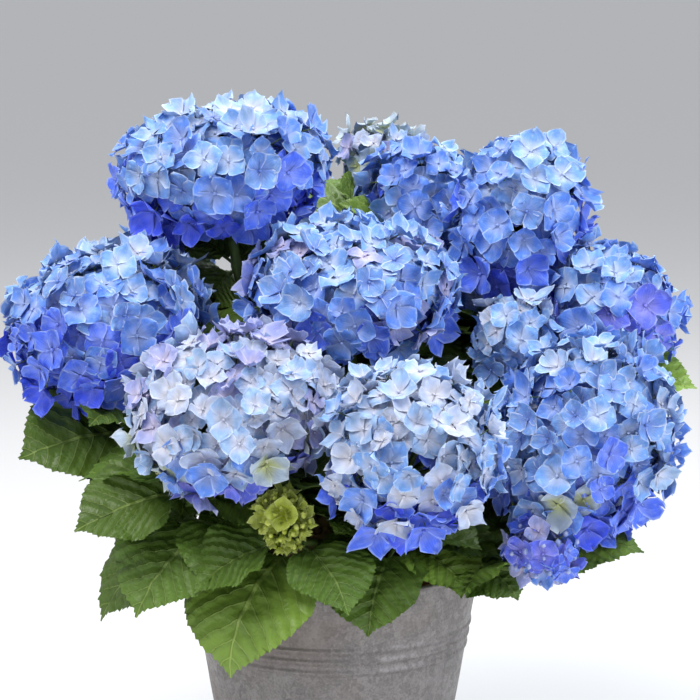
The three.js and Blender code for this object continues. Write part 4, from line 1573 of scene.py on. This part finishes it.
leafDraw = random.Random(41)
tintNames = list(leafTints)
# fill leaves deep in the crown are dealt mostly the darkest tint, as painted shade
tintShares = {"fill": (8, 2, 0, 0), "open": (5, 4, 1, 0.4)}  # how often each tint is dealt
for leaf in leaves:
    drawn = leafDraw.choices(tintNames, tintShares["fill" if leaf["kind"] == "fill" else "open"])[0]
    leaf["tint"] = tintNames.index(leaf.get("tint", drawn))

leafPieces = {"leavesFront": newJoin(), "leavesBack": newJoin()}
for leaf in leaves:
    middle = leafSpot(leaf["start"], leaf, 0.6)[0]
    addBlade(leafPieces["leavesFront" if middle.y < 0 else "leavesBack"], leaf, leafDraw, leaf["tint"])
leafNodes = [f"leaves_{name}" for name in shoots] + [f"leaves_rim_{name}" for name in rimShoots]
for pieceName, bm in leafPieces.items():
    finishPiece(pieceName, bm, leafFinishes, leafNodes)

# twigs: green stems, petioles, flower stalks and pedicels

stem = {
    "radius": 3.2, "tipRadius": 4.6, "sides": 8, "steps": 26, "nodeSwell": 1.1, "nodeNarrow": 34,
    "rimRadius": 3.2, "rimTip": 2.2, "rimSteps": 14, "stalkTip": 4.9, "stalkDepth": 0.35,
    "rayRadius": 1.4, "rayTaper": (1.3, 0.8), "raySides": 5, "rayRise": 4, "pedicelRadius": 0.55,
    "knots": 15, "knotDepth": 0.5, "knotSpan": 1.25,
}


def nodeSwell(share, nodeShares):
    nearest = min(abs(share - at) for at in nodeShares)
    return stem["nodeSwell"] * max(0.0, 1 - nearest * stem["nodeNarrow"])


def makeTwigs():
    bm = bmesh.new()
    nodeShares = [pair["share"] for pair in leafPairs + fillPairs]
    ends = (stem["radius"], stem["tipRadius"])
    for shoot in shoots.values():
        spots = []
        for point, radius in stretchOf(shootPath(shoot), bark["share"], 1, stem["steps"], *ends):
            share = bark["share"] + (1 - bark["share"]) * len(spots) / stem["steps"]
            spots.append((point, radius + nodeSwell(share, nodeShares)))
        addLimb(bm, spots, stem["sides"])
    for shoot in rimShoots.values():
        spots = stretchOf(rimPath(shoot), 0, 1, stem["rimSteps"], stem["rimRadius"], stem["rimTip"])
        addLimb(bm, rootedSpots(spots, 1), stem["sides"])
    for leaf in leaves:
        addLimb(bm, petioleSpots(leaf), petioleLook["sides"])
    pedicel = bmesh.new()
    bmesh.ops.create_cone(pedicel, cap_ends=False, segments=3, radius1=1, radius2=1, depth=1)
    bmesh.ops.translate(pedicel, verts=pedicel.verts, vec=(0, 0, 0.5))
    pedicel = toMesh(pedicel, "pedicel")
    thick, thin = stem["rayTaper"]
    for head in heads:
        top = head["middle"] - head["axis"] * head["half"] * stem["stalkDepth"]
        addLimb(bm, [
            (head["foot"], stem["tipRadius"]), (head["foot"].lerp(top, 0.5), stem["tipRadius"] + 0.3),
            (top, stem["stalkTip"]),
        ], stem["sides"])
        knots = []
        for index in range(stem["knots"]):
            climb = 1 - (index + 0.5) / stem["knots"] * stem["knotSpan"]
            local = domePoint(head["radius"], head["half"], climb, index * goldenAngle)
            knot = head["middle"] + head["upright"] @ (local * stem["knotDepth"])
            knots.append(knot)
            bend = top.lerp(knot, 0.5) + head["axis"] * stem["rayRise"]
            addLimb(bm, [
                (top - head["axis"] * 2, stem["rayRadius"] * thick), (bend, stem["rayRadius"]),
                (knot, stem["rayRadius"] * thin),
            ], stem["raySides"])
        for place in head["places"]:
            end = place["at"]
            knot = min(knots, key=lambda spot: (spot - end).length)
            turn = up.rotation_difference((end - knot).normalized())
            size = Vector((stem["pedicelRadius"] * head["scale"],) * 2 + ((end - knot).length,))
            stampMesh(bm, pedicel, Matrix.LocRotScale(knot, turn, size))
    return bm


finishPiece("greenTwigs", makeTwigs(), [stemFinish], leafNodes)

# young clusters on two of the rim shoots

buds = {
    "climb": 48, "bead": (1.5, 2.7), "beadTall": 1.2, "beadDepth": (0.8, 1.08), "beadSpan": 1.7,
    "depth": (0.66, 1.0), "span": 1.75, "lean": 0.3, "stalk": (0.8, 0.6, 0.5), "stalkEvery": 3,
    "stalkSides": 4,
}

# per cluster: the beads, then the crumpled small florets and the open ones with their sizes and tints
budKinds = {
    "front": {
        "beads": 90, "small": 46, "smallSize": (0.15, 0.28), "smallTints": "green", "open": 5,
        "openSize": (0.5, 0.66), "openTints": "green", "openSpan": 0.9, "cup": (12, 19),
    },
    "right_front": {
        "beads": 50, "small": 26, "smallSize": (0.3, 0.44), "smallTints": "lilac violet royal mid",
        "open": 20, "openSize": (0.48, 0.72), "openTints": "violet mid royal lilac lilac",
        "cup": (2, 9),
    },
}


def clusterSpot(shoot, middle, upright, climb, turn, reach):
    local = domePoint(*shoot["buds"], climb, turn)
    return middle + upright @ (local * reach), (upright @ local).normalized()


def addClusterFlorets(bm, shoot, middle, upright, kind, which, draw):
    count, tints = kind[which], kind[f"{which}Tints"].split()
    for index in range(count):
        climb = 0.95 - (index + 0.5) / count * kind.get(f"{which}Span", buds["span"])
        at, facing = clusterSpot(shoot, middle, upright, climb, index * goldenAngle + count,
                                 draw.uniform(*buds["depth"]))
        facing = (facing + Vector([draw.uniform(-1, 1) * buds["lean"] for _ in range(3)])).normalized()
        turn = up.rotation_difference(facing) @ Quaternion(up, draw.uniform(0, 6))
        size = draw.uniform(*kind[f"{which}Size"])
        spot = {"at": at, "facing": facing, "across": turn @ Vector((1, 0, 0)),
                "along": turn @ Vector((0, 1, 0)), "size": size}
        rises = [draw.uniform(*kind["cup"]) * size] * rimRule["directions"]
        addFloret(bm, spot, draw, petalNames.index(draw.choice(tints)), rises)


def makeBudCluster(name, seed):
    bm = newJoin()
    draw = random.Random(seed)
    shoot, kind = rimShoots[name], budKinds[name]
    axis = direction(shoot["heading"], buds["climb"])
    upright = up.rotation_difference(axis)
    end = Vector(shoot["end"])
    middle = end + axis * shoot["buds"][1]
    bead = ballMesh("budBead")
    beadIndex = len(petals)
    for index in range(kind["beads"]):
        climb = 1 - (index + 0.5) / kind["beads"] * buds["beadSpan"]
        turn = index * goldenAngle
        at, _ = clusterSpot(shoot, middle, upright, climb, turn, draw.uniform(*buds["beadDepth"]))
        size = draw.uniform(*buds["bead"])
        shape = Vector((size, size, size * buds["beadTall"]))
        stampMesh(bm, bead, Matrix.LocRotScale(at, Quaternion(up, turn), shape), beadIndex)
        if index % buds["stalkEvery"] == 0:
            bend = end.lerp(at, 0.6) + axis * 1.5
            spots = list(zip((end + axis * 3, bend, at), buds["stalk"]))
            addLimb(bm, spots, buds["stalkSides"], materialIndex=beadIndex + 1)
    addClusterFlorets(bm, shoot, middle, upright, kind, "small", draw)
    addClusterFlorets(bm, shoot, middle, upright, kind, "open", draw)
    beadFinish = greenBead if name == "front" else blueBead
    finishPiece(f"buds_{name}", bm, petals + [beadFinish, stemFinish], [f"leaves_rim_{name}"])


makeBudCluster("front", 1)
makeBudCluster("right_front", 2)

print("done")
